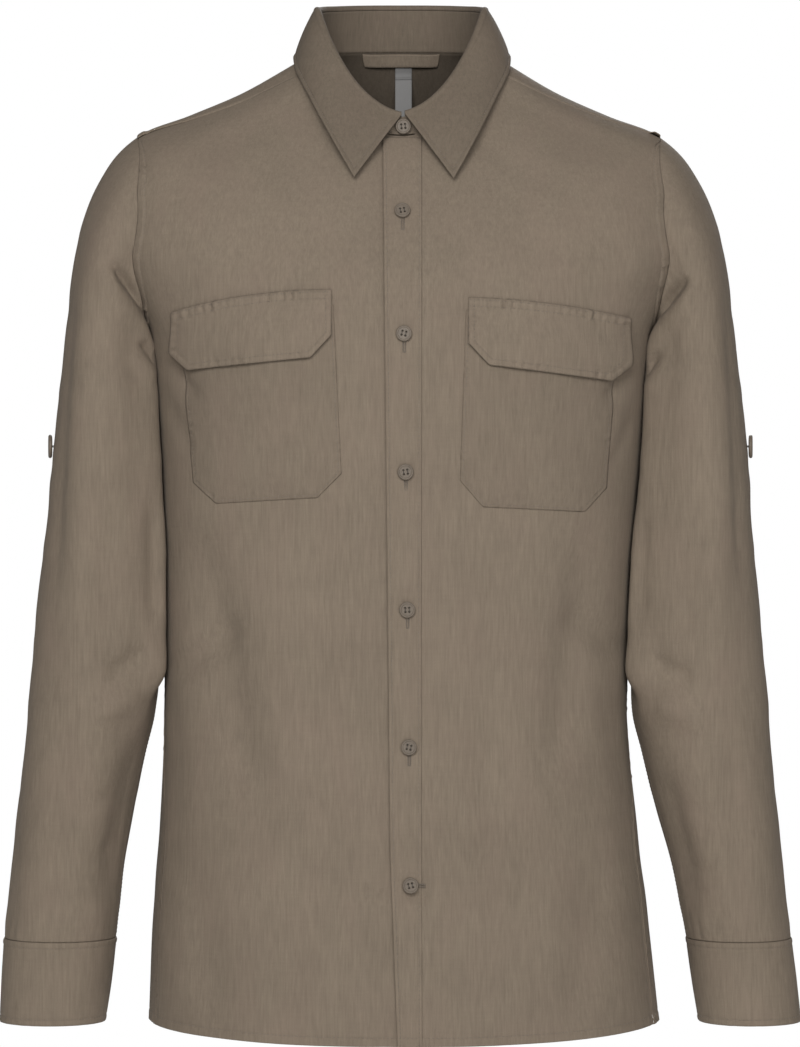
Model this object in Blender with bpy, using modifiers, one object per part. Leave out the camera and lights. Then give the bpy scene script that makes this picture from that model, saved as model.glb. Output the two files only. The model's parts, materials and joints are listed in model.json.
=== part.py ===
"""Safari shirt in its worn shape, empty: two fronts, back, yoke, sleeves, cuffs, collar, flap pockets and buttons.

The script works in millimetres and writes metres. X runs to the wearer's left, the front faces -Y and +Z is up.
The origin is the middle of the neck, level with the shoulder seam beside the collar.
The trunk is one surface, shirt_surface(angle, level): an angle round the body (0 at the front, 90 at the
wearer's left side, 180 at the back) and a level that counts the rows of TRUNK from the hem up. Every panel is a
stretch of that surface, and what lies on a panel is made from the same points, moved out.
"""

import math
from collections import namedtuple

import bmesh
import bpy
import numpy as np
from mathutils import Vector

MM = 0.001

# Cloth and clearances
CLOTH = 1.2
DOUBLE_CLOTH = 1.6
SEAM_GAP = 0.3
LAYER = CLOTH + SEAM_GAP

# Trunk: one row for each level. Rings near the neck tilt, so each has its own height in front, beside and behind.
Ring = namedtuple("Ring", "name z_front z_side z_back half_width front back squareness centre side_seam")
TRUNK = (
    Ring("hem", -742, -734, -742, 195, 122, 118, 2.40, 2.5, 70),
    Ring("low_hip", -660, -660, -660, 190, 119, 115, 2.40, 0, 70),
    Ring("hip", -590, -590, -590, 183.5, 116, 108, 2.35, -1.5, 71),
    Ring("waist", -495, -495, -495, 177.5, 113, 101, 2.30, -4, 86),
    Ring("ribs", -400, -400, -400, 179, 115, 103, 2.35, -2.5, 90),
    Ring("under_pocket", -300, -300, -300, 185, 119, 110, 2.40, 0, 90),
    Ring("chest", -240, -232, -236, 189, 121, 115, 2.55, 0, 90),
    Ring("armpit", -218, -212, -214, 191.5, 120, 117, 2.65, 0, 90),
    Ring("low_armhole", -196, -184, -186, 203, 118, 118, 2.55, 0, 90),
    Ring("mid_armhole", -171, -138, -147, 222, 114, 117, 2.38, 0, 90),
    Ring("high_armhole", -146, -95, -110, 223, 107, 112, 2.28, 0, 90),
    Ring("shoulder_tip", -123, -58, -76, 200, 98.5, 101, 2.20, -1.5, 90),
    Ring("outer_shoulder", -106, -42, -50, 161, 90.5, 89, 2.15, -1, 90),
    Ring("mid_shoulder", -89, -24.5, -26, 121, 81.5, 77, 2.10, 0, 90),
    Ring("inner_shoulder", -74, -6, -4, 89, 72.5, 68, 2.05, 0, 90),
    Ring("neck", -62, 9, 15, 65, 64, 62, 2.00, 0, 90),
)
NECK_LEVEL = len(TRUNK) - 1
ARMPIT_LEVEL = 7
RING_RISE_POWER = 2.3
FACING_GAIN = 2.5
NUDGE_ANGLE = 0.5
NUDGE_LEVEL = 0.02

# Armhole: an egg in the side view, centred on y = 0. Its stations run from the front yoke seam round the underarm.
ARMHOLE_MIDDLE = -135
ARMHOLE_HALF_HEIGHT = 77
ARMHOLE_FRONT = 60
ARMHOLE_BACK = 64
ARMHOLE_STEP = 15
YOKE_FRONT_STATION = 15
YOKE_BACK_STATION = -60
YOKE_FRONT_AT_NECK = 66
YOKE_BACK_AT_NECK = 100
YOKE_BACK_Z = -97
BACK_SEAM_POWER = 6

# Sleeves, one row for each height: how far out each edge stands, and the depth from front to back.
Sleeve = namedtuple(
    "Sleeve", "z right_outer right_inner left_outer left_inner middle_y half_depth squareness wrap"
)
SLEEVE = (
    Sleeve(-222, 258.5, 193.5, 257, 193.5, 2, 66, 2.3, 9.2),
    Sleeve(-262, 263, 190.5, 262, 190.5, 1, 67, 2.35, 10.4),
    Sleeve(-300, 266.5, 188.5, 265.5, 188.5, 0, 66, 2.35, 11.1),
    Sleeve(-376, 274, 185, 270.5, 181.5, -3, 62, 2.3, 11.9),
    Sleeve(-440, 280.5, 184, 276, 177.5, -6, 58.5, 2.25, 12.1),
    Sleeve(-466, 282.6, 185.6, 278.4, 177.2, -7.5, 57.2, 2.2, 13.6),
    Sleeve(-491, 285, 187.6, 281, 176.8, -9, 56, 2.2, 3),
    Sleeve(-530, 288.8, 196, 284, 185, -11, 53.5, 2.15, 0),
    Sleeve(-568, 292.6, 204, 287, 194.5, -13, 51, 2.1, 0),
    Sleeve(-607, 296.5, 210.5, 291, 205, -16, 48, 2.1, 0),
    Sleeve(-645, 300.3, 215.5, 294.5, 213.5, -18, 45, 2.1, 0),
    Sleeve(-671, 302.5, 218.5, 297.5, 218.5, -20, 42, 2.05, 0),
    Sleeve(-700, 304.2, 221.5, 301, 222.5, -22, 40, 2.05, 0),
    Sleeve(-734, 305.5, 226.5, 304.5, 228, -24, 38.5, 2.05, 0),
)
WRAP_STATION = 144
WRAP_SPREAD = 12
CUFF_TOP = -671
CUFF_BOTTOM = -734
CUFF_OVERLAP = 32
CUFF_START = 300
CUFF_CLEARANCE = 0.8

# Folds: soft ridges (+) and troughs (-) along a line in the front view. The back gets its own.
FOLD_FADE_GAIN = 2.5
FOLD_END_SHARE = 0.35
Fold = namedtuple("Fold", "name x0 z0 x1 z1 height width")
FRONT_FOLDS = (
    Fold("right_belly", -150, -365, -112, -560, -3.5, 17),
    Fold("right_belly_roll", -92, -380, -70, -640, 2.5, 20),
    Fold("left_belly", 137, -370, 116, -540, -3.5, 15),
    Fold("left_belly_roll", 42, -370, 46, -680, 2.0, 16),
    Fold("right_waist", -172, -470, -120, -430, -3.0, 11),
    Fold("left_waist", 170, -455, 128, -420, -3.0, 11),
    Fold("right_hip", -160, -600, -140, -730, -2.5, 18),
    Fold("left_hip", 150, -600, 128, -730, -2.5, 18),
)
BACK_FOLDS = (
    Fold("right_blade", -120, -170, -70, -420, -4.0, 20),
    Fold("left_blade", 124, -175, 76, -430, -4.0, 20),
    Fold("middle_roll", 4, -160, -6, -560, 2.5, 26),
    Fold("right_small", -130, -470, -60, -560, -3.0, 16),
    Fold("left_small", 128, -490, 66, -590, -3.0, 16),
    Fold("tail_right", -84, -600, -96, -735, -3.0, 20),
    Fold("tail_left", 70, -610, 88, -735, -3.0, 20),
)
RIGHT_SLEEVE_FOLDS = (
    Fold("armpit_upper", -221, -150, -190, -198, -7.0, 9),
    Fold("armpit_lower", -205, -204, -190, -228, -5.0, 8),
    Fold("outer_edge", -250, -190, -262, -340, -3.0, 8),
    Fold("elbow_inner", -192, -452, -222, -470, -4.0, 9),
    Fold("elbow_roll", -196, -482, -232, -502, 3.5, 11),
    Fold("inner_forearm", -200, -520, -226, -610, -3.5, 10),
)
LEFT_SLEEVE_FOLDS = (
    Fold("armpit_upper", 218, -160, 190, -202, -7.0, 9),
    Fold("armpit_lower", 202, -214, 190, -236, -5.0, 8),
    Fold("outer_edge", 248, -190, 258, -330, -3.0, 8),
    Fold("elbow_inner", 188, -458, 220, -474, -4.0, 9),
    Fold("elbow_roll", 192, -490, 230, -506, 3.5, 11),
    Fold("inner_forearm", 198, -540, 226, -620, -3.5, 10),
)

# Button front: the edges of the folded band at three heights, and the row of buttons
Band = namedtuple("Band", "z free_edge stitched_edge")
PLACKET = (Band(-742, -2.5, 15.5), Band(-600, -8, 15), Band(-400, -10, 15), Band(-62, -13.7, 15.5))
UNDERLAP = 13
CHEST_Z = -235
UNDER_STEP_X = -24
UNDER_STEP_WIDTH = 12
BAND_SEWN_OVER = 5
FRONT_BUTTON_TOP = -123.4
FRONT_BUTTON_SECOND = -214.8
FRONT_BUTTON_SPACING = 102
FRONT_BUTTON_X_TOP = 1
FRONT_BUTTON_X_BOTTOM = 7
FRONT_BUTTON_COUNT = 6

# Patch pockets and their flaps: corners in the front view, the bow of the top edge and the cut of the low corners
PATCH_SLACK = 0.3
Patch = namedtuple("Patch", "name top_left top_right low_left low_right bow cut_width cut_height")
POCKET_RIGHT = Patch("pocket_right", (-167, -203), (-50, -193), (-156, -341), (-44, -335), 2, 18, 17)
POCKET_LEFT = Patch("pocket_left", (48, -197), (163, -208), (43.5, -342), (154, -347), 2, 17, 19)
FLAP_RIGHT = Patch("flap_right", (-171, -196.7), (-51.4, -182.3), (-171, -241), (-51.4, -231), 4, 15, 15)
FLAP_LEFT = Patch("flap_left", (50, -187.8), (171, -201), (49.6, -236), (170, -249.5), 2.5, 15, 14)

# Collar, one row for each angle round the neck: height of the stand and the place of the leaf's edge
Collar = namedtuple("Collar", "angle stand edge_x edge_y edge_z")
COLLAR = (
    Collar(0, 12.5, 36.5, -93, -98.5),
    Collar(30, 20, 52, -83, -70),
    Collar(60, 24, 69, -55, -35),
    Collar(76, 27, 81.2, -24, -8.2),
    Collar(90, 28.8, 82.8, -2, 3),
    Collar(120, 31.5, 73, 48, 6),
    Collar(150, 32, 44, 72, 6),
    Collar(180, 32, 0, 79, 6),
)
COLLAR_SHIFT_X = 1.5
COLLAR_TILT = 1.5
STAND_RISE = 1.3
STAND_LEAN = 0.05
STAND_TOP_END = -12.6
STAND_UNDER_END = 11
STAND_END_ROUND = 9
STAND_UNDER_STEP = 2.1
ROLL_RADIUS = 2.4
LEAF_RISE = 1.5
ROLL_RISE = 1.2
COLLAR_BUTTON_HEIGHT = 5.3
LEAF_MEETING = 1.4
LEAF_MEETING_GAP = 1.1

# Neck trims
LOOP_HALF_WIDTH = 31
LOOP_HEIGHT = 10
LABEL_LEFT = -4.7
LABEL_WIDTH = 13.3
LABEL_TOP = 9
LABEL_FREE_Z = -4
LABEL_LENGTH = 49
SIZE_LABEL_TOP = 2
SIZE_LABEL_LENGTH = 7
LABEL_CLOTH = 1.0

# Buttons: rolled edge, four holes
Button = namedtuple("Button", "diameter thickness hole spacing")
SHIRT_BUTTON = Button(12, 2.4, 1.5, 2.9)
ROLL_UP_BUTTON = Button(18, 3.0, 2.0, 4.4)
ROLL_UP_BUTTON_Z = -296
ROLL_UP_BUTTON_STATION = 14
BUTTON_SIDES = 20
HOLE_SIDES = 6

# Sleeve slit strip
SLIT_WIDTH = 22
SLIT_TOP = -545
SLIT_ANGLE = 285

# Solving for a place on the trunk
SOLVER_STEPS = 14
SOLVER_NUDGE = 0.01
MOST_ANGLE_STEP = 12
MOST_LEVEL_STEP = 0.8
LEVEL_STEPS = 30
LEVEL_DAMPING = 40
DROP_DAMPING = 30

# How finely each piece is divided
FRONT_COLUMNS = 10
BACK_COLUMNS = 18
LOW_ROWS = 14
YOKE_ROWS = 4
CAP_ROWS = 6
ARM_ROWS = 15
FRONT_CROWDING = 0.9

CLOTH_COLOUR = (0.23, 0.19, 0.135, 1)
BUTTON_COLOUR = (0.20, 0.165, 0.12, 1)
LABEL_COLOUR = (0.19, 0.185, 0.18, 1)


def clear_scene():
    for item in list(bpy.data.objects):
        bpy.data.objects.remove(item, do_unlink=True)


def plain_material(name, colour, roughness):
    material = bpy.data.materials.new(name)
    material.use_nodes = True
    shader = material.node_tree.nodes["Principled BSDF"]
    shader.inputs["Base Color"].default_value = colour
    shader.inputs["Roughness"].default_value = roughness
    shader.inputs["Metallic"].default_value = 0.0
    return material


def smooth_through(values, at):
    """A monotone cubic through values at 0, 1, 2, ..., read at each number of at."""
    values = np.asarray(values, float)
    at = np.clip(np.asarray(at, float), 0, len(values) - 1)
    step = np.diff(values)
    slope = np.zeros(len(values))
    slope[0] = step[0]
    slope[-1] = step[-1]
    rising = step[:-1] * step[1:] > 0
    both = np.where(rising, step[:-1] + step[1:], 1)
    slope[1:-1] = np.where(rising, 2 * step[:-1] * step[1:] / both, 0)
    low = np.minimum(at.astype(int), len(values) - 2)
    t = at - low
    start = values[low] * (1 + 2 * t) * (1 - t) ** 2 + slope[low] * t * (1 - t) ** 2
    end = values[low + 1] * t * t * (3 - 2 * t) + slope[low + 1] * t * t * (t - 1)
    return start + end


def column(table, name, at):
    return smooth_through([getattr(row, name) for row in table], at)


def rank(table, key, value):
    """The row number, with its fraction, where the column key holds value."""
    keys = np.array([getattr(row, key) for row in table], float)
    order = np.argsort(keys)
    return np.interp(value, keys[order], order.astype(float))


def direction_on_oval(angle, squareness):
    """Sine and cosine of angle, pushed out to a rounded rectangle."""
    sine = np.sin(np.radians(angle))
    cosine = np.cos(np.radians(angle))
    push = (np.abs(sine) ** squareness + np.abs(cosine) ** squareness) ** (-1 / squareness)
    return sine * push, cosine * push


def bare_surface(angle, level):
    """The trunk's middle surface before its folds."""
    angle, level = np.broadcast_arrays(np.asarray(angle, float), np.asarray(level, float))
    across, along = direction_on_oval(angle, column(TRUNK, "squareness", level))
    in_front = along > 0
    depth = np.where(in_front, column(TRUNK, "front", level), column(TRUNK, "back", level))
    z_middle = np.where(in_front, column(TRUNK, "z_front", level), column(TRUNK, "z_back", level))
    rise = np.abs(np.sin(np.radians(angle))) ** RING_RISE_POWER
    x = column(TRUNK, "centre", level) + column(TRUNK, "half_width", level) * across
    z = z_middle + (column(TRUNK, "z_side", level) - z_middle) * rise
    return np.stack([x, -depth * along, z], axis=-1)


def unit(vectors):
    return vectors / np.linalg.norm(vectors, axis=-1, keepdims=True)


def fold_height(folds, x, z):
    """How far the folds lift the cloth at x, z of the front view."""
    height = np.zeros(np.shape(x))
    for fold in folds:
        line = np.array([fold.x1 - fold.x0, fold.z1 - fold.z0], float)
        length = np.linalg.norm(line)
        line /= length
        along = ((x - fold.x0) * line[0] + (z - fold.z0) * line[1]) / length
        aside = (x - fold.x0) * line[1] - (z - fold.z0) * line[0]
        fade = np.clip(np.minimum(along, 1 - along) * FOLD_FADE_GAIN + FOLD_END_SHARE, 0, 1)
        fade = fade * fade * (3 - 2 * fade)
        height += fold.height * fade * np.exp(-((aside / fold.width) ** 2))
    return height


def shirt_surface(angle, level, out=0.0):
    """Points of the trunk's middle surface with its folds, moved out by out."""
    angle, level = np.broadcast_arrays(np.asarray(angle, float), np.asarray(level, float))
    point = bare_surface(angle, level)
    low = np.minimum(level, NECK_LEVEL - NUDGE_LEVEL)
    over = bare_surface(angle + NUDGE_ANGLE, low) - bare_surface(angle - NUDGE_ANGLE, low)
    up = bare_surface(angle, low + NUDGE_LEVEL) - bare_surface(angle, low)
    normal = unit(np.cross(over, up))
    facing = np.clip(-normal[..., 1] * FACING_GAIN, 0, 1)
    away = np.clip(normal[..., 1] * FACING_GAIN, 0, 1)
    height = facing * fold_height(FRONT_FOLDS, point[..., 0], point[..., 2])
    height += away * fold_height(BACK_FOLDS, point[..., 0], point[..., 2])
    return point + normal * (height + out)[..., None]


def find_on_trunk(first, z, axis, angle, level):
    """The angle and level where coordinate axis is first and the height is z, by Newton's method from a start."""
    first, z, angle, level = np.broadcast_arrays(*(np.asarray(a, float) for a in (first, z, angle, level)))
    nudge = SOLVER_NUDGE
    angle = angle.copy()
    level = np.clip(level, 0, NECK_LEVEL - nudge)
    for _ in range(SOLVER_STEPS):
        here = bare_surface(angle, level)
        over = (bare_surface(angle + nudge, level) - here) / nudge
        up = (bare_surface(angle, level + nudge) - here) / nudge
        miss_first = first - here[..., axis]
        miss_z = z - here[..., 2]
        scale = over[..., axis] * up[..., 2] - over[..., 2] * up[..., axis]
        turn = (miss_first * up[..., 2] - miss_z * up[..., axis]) / scale
        rise = (over[..., axis] * miss_z - over[..., 2] * miss_first) / scale
        angle += np.clip(turn, -MOST_ANGLE_STEP, MOST_ANGLE_STEP)
        level += np.clip(rise, -MOST_LEVEL_STEP, MOST_LEVEL_STEP)
        level = np.clip(level, 0, NECK_LEVEL - nudge)
    return angle, level


def find_on_front(x, z):
    start = np.interp(z, [row.z_front for row in TRUNK], range(len(TRUNK)))
    return find_on_trunk(x, z, 0, np.asarray(x, float) * 0.35, start)


def on_front(x, z, out):
    """Points of the front at x, z of the front view, moved out."""
    angle, level = find_on_front(x, z)
    return shirt_surface(angle, level, out)


def armhole_stations(first, last):
    """Angle and level of the wearer's left armhole, at stations from first to last degrees."""
    station = np.arange(first, last + ARMHOLE_STEP / 2, ARMHOLE_STEP)
    sine = np.sin(np.radians(station))
    y = -np.where(sine > 0, ARMHOLE_FRONT, ARMHOLE_BACK) * sine
    z = ARMHOLE_MIDDLE + ARMHOLE_HALF_HEIGHT * np.cos(np.radians(station))
    start = np.interp(z, [row.z_side for row in TRUNK], range(len(TRUNK)))
    return find_on_trunk(y, z, 1, 90 + y * 0.5, start)


def pull_in(points, first_row=0.0, last_row=0.0, first_column=0.0, last_column=0.0):
    """Moves the named edges of a grid in along the cloth, which leaves the gap at a seam."""
    points = points.copy()
    edges = (
        (points[0], points[1], first_row),
        (points[-1], points[-2], last_row),
        (points[:, 0], points[:, 1], first_column),
        (points[:, -1], points[:, -2], last_column),
    )
    for edge, inner, amount in edges:
        edge += unit(inner - edge) * amount
    return points


def sheet_mesh(name, points):
    """A mesh over a grid of points (rows, columns, 3). Edges that meet are welded."""
    rows, columns = points.shape[:2]
    mesh = bpy.data.meshes.new(name)
    grid = bmesh.new()
    bmesh.ops.create_grid(grid, x_segments=columns - 1, y_segments=rows - 1, size=1)
    grid.verts.ensure_lookup_table()
    for vertex, point in zip(grid.verts, points.reshape(-1, 3) * MM):
        vertex.co = point
    bmesh.ops.remove_doubles(grid, verts=grid.verts[:], dist=1e-6)
    for face in grid.faces:
        face.smooth = True
    grid.to_mesh(mesh)
    grid.free()
    return mesh


def add_object(name, data, material, collection):
    item = bpy.data.objects.new(name, data)
    data.materials.append(material)
    collection.objects.link(item)
    return item


def add_cloth(name, points, wall, look):
    """A sheet of cloth with half its wall on each side of the points."""
    item = add_object(name, sheet_mesh(name, points), look.cloth, look.collection)
    solidify = item.modifiers.new("wall", "SOLIDIFY")
    solidify.thickness = wall * MM
    solidify.offset = 0
    solidify.use_even_offset = True
    split = item.modifiers.new("short_diagonals", "TRIANGULATE")
    split.quad_method = "SHORTEST_DIAGONAL"
    return item


def low_levels():
    """Levels from the hem to the armpit, even in height."""
    heights = np.linspace(TRUNK[0].z_side, TRUNK[ARMPIT_LEVEL].z_side, LOW_ROWS + 1)
    return np.interp(heights, [row.z_side for row in TRUNK], range(len(TRUNK)))[:-1]


def front_edge(side):
    """Angle and level up the outer edge of a front: side seam, armhole, then yoke seam."""
    low = low_levels()
    hole_angle, hole_level = armhole_stations(YOKE_FRONT_STATION, 180)
    share = np.linspace(0, 1, YOKE_ROWS + 1)[1:]
    seam_angle = hole_angle[0] + (YOKE_FRONT_AT_NECK - hole_angle[0]) * share
    seam_level = hole_level[0] + (NECK_LEVEL - hole_level[0]) * share
    angle = np.concatenate([column(TRUNK, "side_seam", low), hole_angle[::-1], seam_angle])
    level = np.concatenate([low, hole_level[::-1], seam_level])
    return side * angle, level


def band_edge(name, z):
    heights = [row.z for row in PLACKET]
    return np.interp(z, heights, [getattr(row, name) for row in PLACKET])


def front_panel(side):
    """Grid of a front, side -1 for the wearer's right and +1 for the left."""
    edge_angle, level = front_edge(side)
    middle_z = column(TRUNK, "z_front", level)
    if side > 0:
        middle_x = band_edge("stitched_edge", middle_z) - BAND_SEWN_OVER
    else:
        middle_x = band_edge("stitched_edge", middle_z) - (PLACKET[-1].stitched_edge - UNDERLAP)
    middle_angle, _ = find_on_front(middle_x, middle_z)
    share = np.linspace(0, 1, FRONT_COLUMNS + 1) ** FRONT_CROWDING
    angle = middle_angle[:, None] + (edge_angle - middle_angle)[:, None] * share
    points = shirt_surface(angle, level[:, None] * np.ones_like(angle))
    if side < 0:
        under = np.clip((points[..., 0] - UNDER_STEP_X) / UNDER_STEP_WIDTH, 0, 1)
        step = (under * under * (3 - 2 * under)) * LAYER
        points = shirt_surface(angle, level[:, None] * np.ones_like(angle), -step)
    half = SEAM_GAP / 2
    return pull_in(points, last_row=half, last_column=half)


def back_panel():
    low = low_levels()
    hole_angle, hole_level = armhole_stations(180, 360 + YOKE_BACK_STATION)
    edge_angle = np.concatenate([column(TRUNK, "side_seam", low), hole_angle])
    edge_level = np.concatenate([low, hole_level])
    share = np.linspace(-1, 1, BACK_COLUMNS + 1)
    angle = 180 + (180 - edge_angle)[:, None] * share
    top_angle, top_level = back_yoke_seam()
    lift = (edge_level / edge_level[-1]) ** BACK_SEAM_POWER
    level = edge_level[:, None] + lift[:, None] * (top_level - top_level[0])
    half = SEAM_GAP / 2
    return pull_in(shirt_surface(angle, level), last_row=half, first_column=half, last_column=half)


def back_yoke_seam():
    """Angle and level along the seam across the back, from the wearer's left armhole to the right."""
    hole_angle, hole_level = armhole_stations(180, 360 + YOKE_BACK_STATION)
    angle = 180 + (180 - hole_angle[-1]) * np.linspace(-1, 1, BACK_COLUMNS + 1)
    level = np.full(len(angle), hole_level[-1])
    for _ in range(LEVEL_STEPS):
        level += (YOKE_BACK_Z - bare_surface(angle, level)[:, 2]) / LEVEL_DAMPING
    level[0] = hole_level[-1]
    level[-1] = hole_level[-1]
    return angle, level


def yoke_panel():
    hole_angle, hole_level = armhole_stations(YOKE_BACK_STATION, YOKE_FRONT_STATION)
    seam_angle, seam_level = back_yoke_seam()
    outer_angle = np.concatenate([hole_angle[::-1], seam_angle[1:-1], 360 - hole_angle])
    outer_level = np.concatenate([hole_level[::-1], seam_level[1:-1], hole_level])
    over_shoulder = np.linspace(YOKE_FRONT_AT_NECK, YOKE_BACK_AT_NECK, len(hole_angle))
    across_back = np.linspace(YOKE_BACK_AT_NECK, 360 - YOKE_BACK_AT_NECK, BACK_COLUMNS + 1)
    neck_angle = np.concatenate([over_shoulder, across_back[1:-1], 360 - over_shoulder[::-1]])
    share = np.linspace(0, 1, YOKE_ROWS + 1)[:, None]
    angle = outer_angle + (neck_angle - outer_angle) * share
    level = outer_level + (NECK_LEVEL - outer_level) * share
    half = SEAM_GAP / 2
    return pull_in(shirt_surface(angle, level), half, half, half, half)


def sleeve_ring(side, z, station):
    """Points round the arm at height z. Station 0 is outside, 90 in front, 180 against the body.

    The front inner quarter lies against the body's side."""
    at = rank(SLEEVE, "z", z)
    outer_name, inner_name = ("left_outer", "left_inner") if side > 0 else ("right_outer", "right_inner")
    outer = column(SLEEVE[::-1], outer_name, len(SLEEVE) - 1 - at)
    inner = column(SLEEVE[::-1], inner_name, len(SLEEVE) - 1 - at)
    middle_y = column(SLEEVE[::-1], "middle_y", len(SLEEVE) - 1 - at)
    depth = column(SLEEVE[::-1], "half_depth", len(SLEEVE) - 1 - at)
    squareness = column(SLEEVE[::-1], "squareness", len(SLEEVE) - 1 - at)
    forward, outward = direction_on_oval(station, squareness)
    x = (outer + inner) / 2 + (outer - inner) / 2 * outward
    wrap = np.maximum(column(SLEEVE[::-1], "wrap", len(SLEEVE) - 1 - at), 0)
    x = x - wrap * np.exp(-(((station - WRAP_STATION) / WRAP_SPREAD) ** 2))
    y = middle_y - depth * forward
    return np.stack([side * x, y, z + 0 * x], axis=-1)


def cap_rows(side, station):
    """The sleeve head: curves from the armhole out and down to the arm's first ring."""
    first = armhole_stations(0, 360)
    angle = np.interp(station, np.arange(0, 361, ARMHOLE_STEP), np.unwrap(first[0], period=360))
    level = np.interp(station, np.arange(0, 361, ARMHOLE_STEP), first[1])
    start = shirt_surface(side * angle, level)
    end = sleeve_ring(side, np.full(len(station), float(SLEEVE[0].z)), station)
    cosine = np.cos(np.radians(station))
    sine = np.sin(np.radians(station))
    top = (1 + cosine) / 2
    leave = unit(np.stack([side * (0.9 + 0 * cosine), -0.25 * sine, -0.2 - 0.45 * cosine], axis=-1))
    arrive = np.stack([side * 0.09 * top, 0 * top, -1 + 0 * top], axis=-1)
    gap = SEAM_GAP + CLOTH * (1 - top)
    start = start + leave * gap[:, None]
    leave = leave * (12 + 168 * top**2.2)[:, None]
    arrive = arrive * (10 + 160 * top**1.5)[:, None]
    rows = []
    for t in np.linspace(0, 1, CAP_ROWS + 1):
        from_start = start * (1 + 2 * t) * (1 - t) ** 2 + leave * t * (1 - t) ** 2
        to_end = end * t * t * (3 - 2 * t) + arrive * t * t * (t - 1)
        rows.append(from_start + to_end)
    return rows


def add_folds(points, folds):
    """Lifts a sleeve's points along their normals by its folds, in front and behind alike."""
    over = np.roll(points, -1, axis=1) - np.roll(points, 1, axis=1)
    down = np.gradient(points, axis=0)
    normal = unit(np.cross(over, down))
    outward = points - points.mean(axis=1, keepdims=True)
    normal *= np.sign((normal * outward).sum(axis=-1, keepdims=True))
    facing = np.clip(np.abs(normal[..., 1]) * FACING_GAIN, 0, 1)
    height = facing * fold_height(folds, points[..., 0], points[..., 2])
    height[0] = 0
    height[-1] = 0
    return points + normal * height[..., None]


def sleeve_points(side, out=0.0, stations=None):
    """Grid of a sleeve from the armhole to the cuff, closed round the arm."""
    station = np.arange(0, 360, ARMHOLE_STEP) if stations is None else stations
    rows = cap_rows(side, station)
    heights = np.linspace(SLEEVE[0].z, CUFF_TOP, ARM_ROWS + 1)[1:]
    rows += [sleeve_ring(side, np.full(len(station), z), station) for z in heights]
    folds = LEFT_SLEEVE_FOLDS if side > 0 else RIGHT_SLEEVE_FOLDS
    points = add_folds(np.array(rows), folds)
    points = pull_in(points, last_row=SEAM_GAP / 2)
    return np.concatenate([points, points[:, :1]], axis=1)


def patch_points(patch, out, columns, rows):
    """Grid of a pocket or flap on the front: straight sides, a bowed top and cut low corners."""
    across = np.linspace(0, 1, columns + 1)
    down = np.linspace(0, 1, rows + 1)[:, None]
    top = np.outer(1 - across, patch.top_left) + np.outer(across, patch.top_right)
    low = np.outer(1 - across, patch.low_left) + np.outer(across, patch.low_right)
    top[:, 1] += patch.bow * 4 * across * (1 - across)
    width = abs(patch.low_right[0] - patch.low_left[0])
    from_corner = np.minimum(across, 1 - across) * width
    low[:, 1] += patch.cut_height * np.clip(1 - from_corner / patch.cut_width, 0, 1)
    x = top[:, 0] + (low[:, 0] - top[:, 0]) * down
    z = top[:, 1] + (low[:, 1] - top[:, 1]) * down
    return on_front(x, z, out)


def placket_points():
    low = np.linspace(PLACKET[0].z + 0.2, CHEST_Z, 13)[:-1]
    z = np.concatenate([low, np.linspace(CHEST_Z, PLACKET[-1].z - 3.5, 20)])[:, None]
    share = np.linspace(0, 1, 4)
    free = band_edge("free_edge", z)
    x = free + (band_edge("stitched_edge", z) - free) * share
    return on_front(x, z + 0 * x, CLOTH / 2 + SEAM_GAP + DOUBLE_CLOTH / 2)


def collar_value(name, angle):
    """A column of COLLAR at each angle, alike on both sides."""
    turned = np.abs((np.asarray(angle, float) + 180) % 360 - 180)
    at = np.interp(turned, [row.angle for row in COLLAR], range(len(COLLAR)))
    return column(COLLAR, name, at)


def stand_base(angle):
    return shirt_surface(angle, np.full(np.shape(angle), float(NECK_LEVEL)))


def stand_point(angle, height):
    """A point of the collar stand, height above the neck seam, leaning in a little."""
    base = stand_base(angle)
    lean = 1 - STAND_LEAN * height / LOOP_HALF_WIDTH
    inward = np.clip((angle - 330) / 18, 0, 1)
    inward = inward * inward * (3 - 2 * inward) * STAND_UNDER_STEP
    plan = unit(base[..., :2]) * inward[..., None]
    point = base.copy()
    point[..., :2] = base[..., :2] * lean[..., None] - plan
    point[..., 2] += STAND_RISE + height
    return point


def stand_points():
    angle = np.concatenate([
        np.linspace(STAND_TOP_END, STAND_TOP_END + STAND_END_ROUND, 5)[:-1],
        np.linspace(STAND_TOP_END + STAND_END_ROUND, 360 + STAND_UNDER_END - STAND_END_ROUND, 31),
        np.linspace(360 + STAND_UNDER_END - STAND_END_ROUND, 360 + STAND_UNDER_END, 5)[1:],
    ])
    from_end = np.minimum(angle - STAND_TOP_END, 360 + STAND_UNDER_END - angle)
    into = np.clip(1 - from_end / STAND_END_ROUND, 0, 0.93)
    top = collar_value("stand", angle) * np.sqrt(1 - into**2)
    share = np.linspace(0, 1, 4)[:, None]
    return stand_point(angle + 0 * share, share * top)


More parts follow.
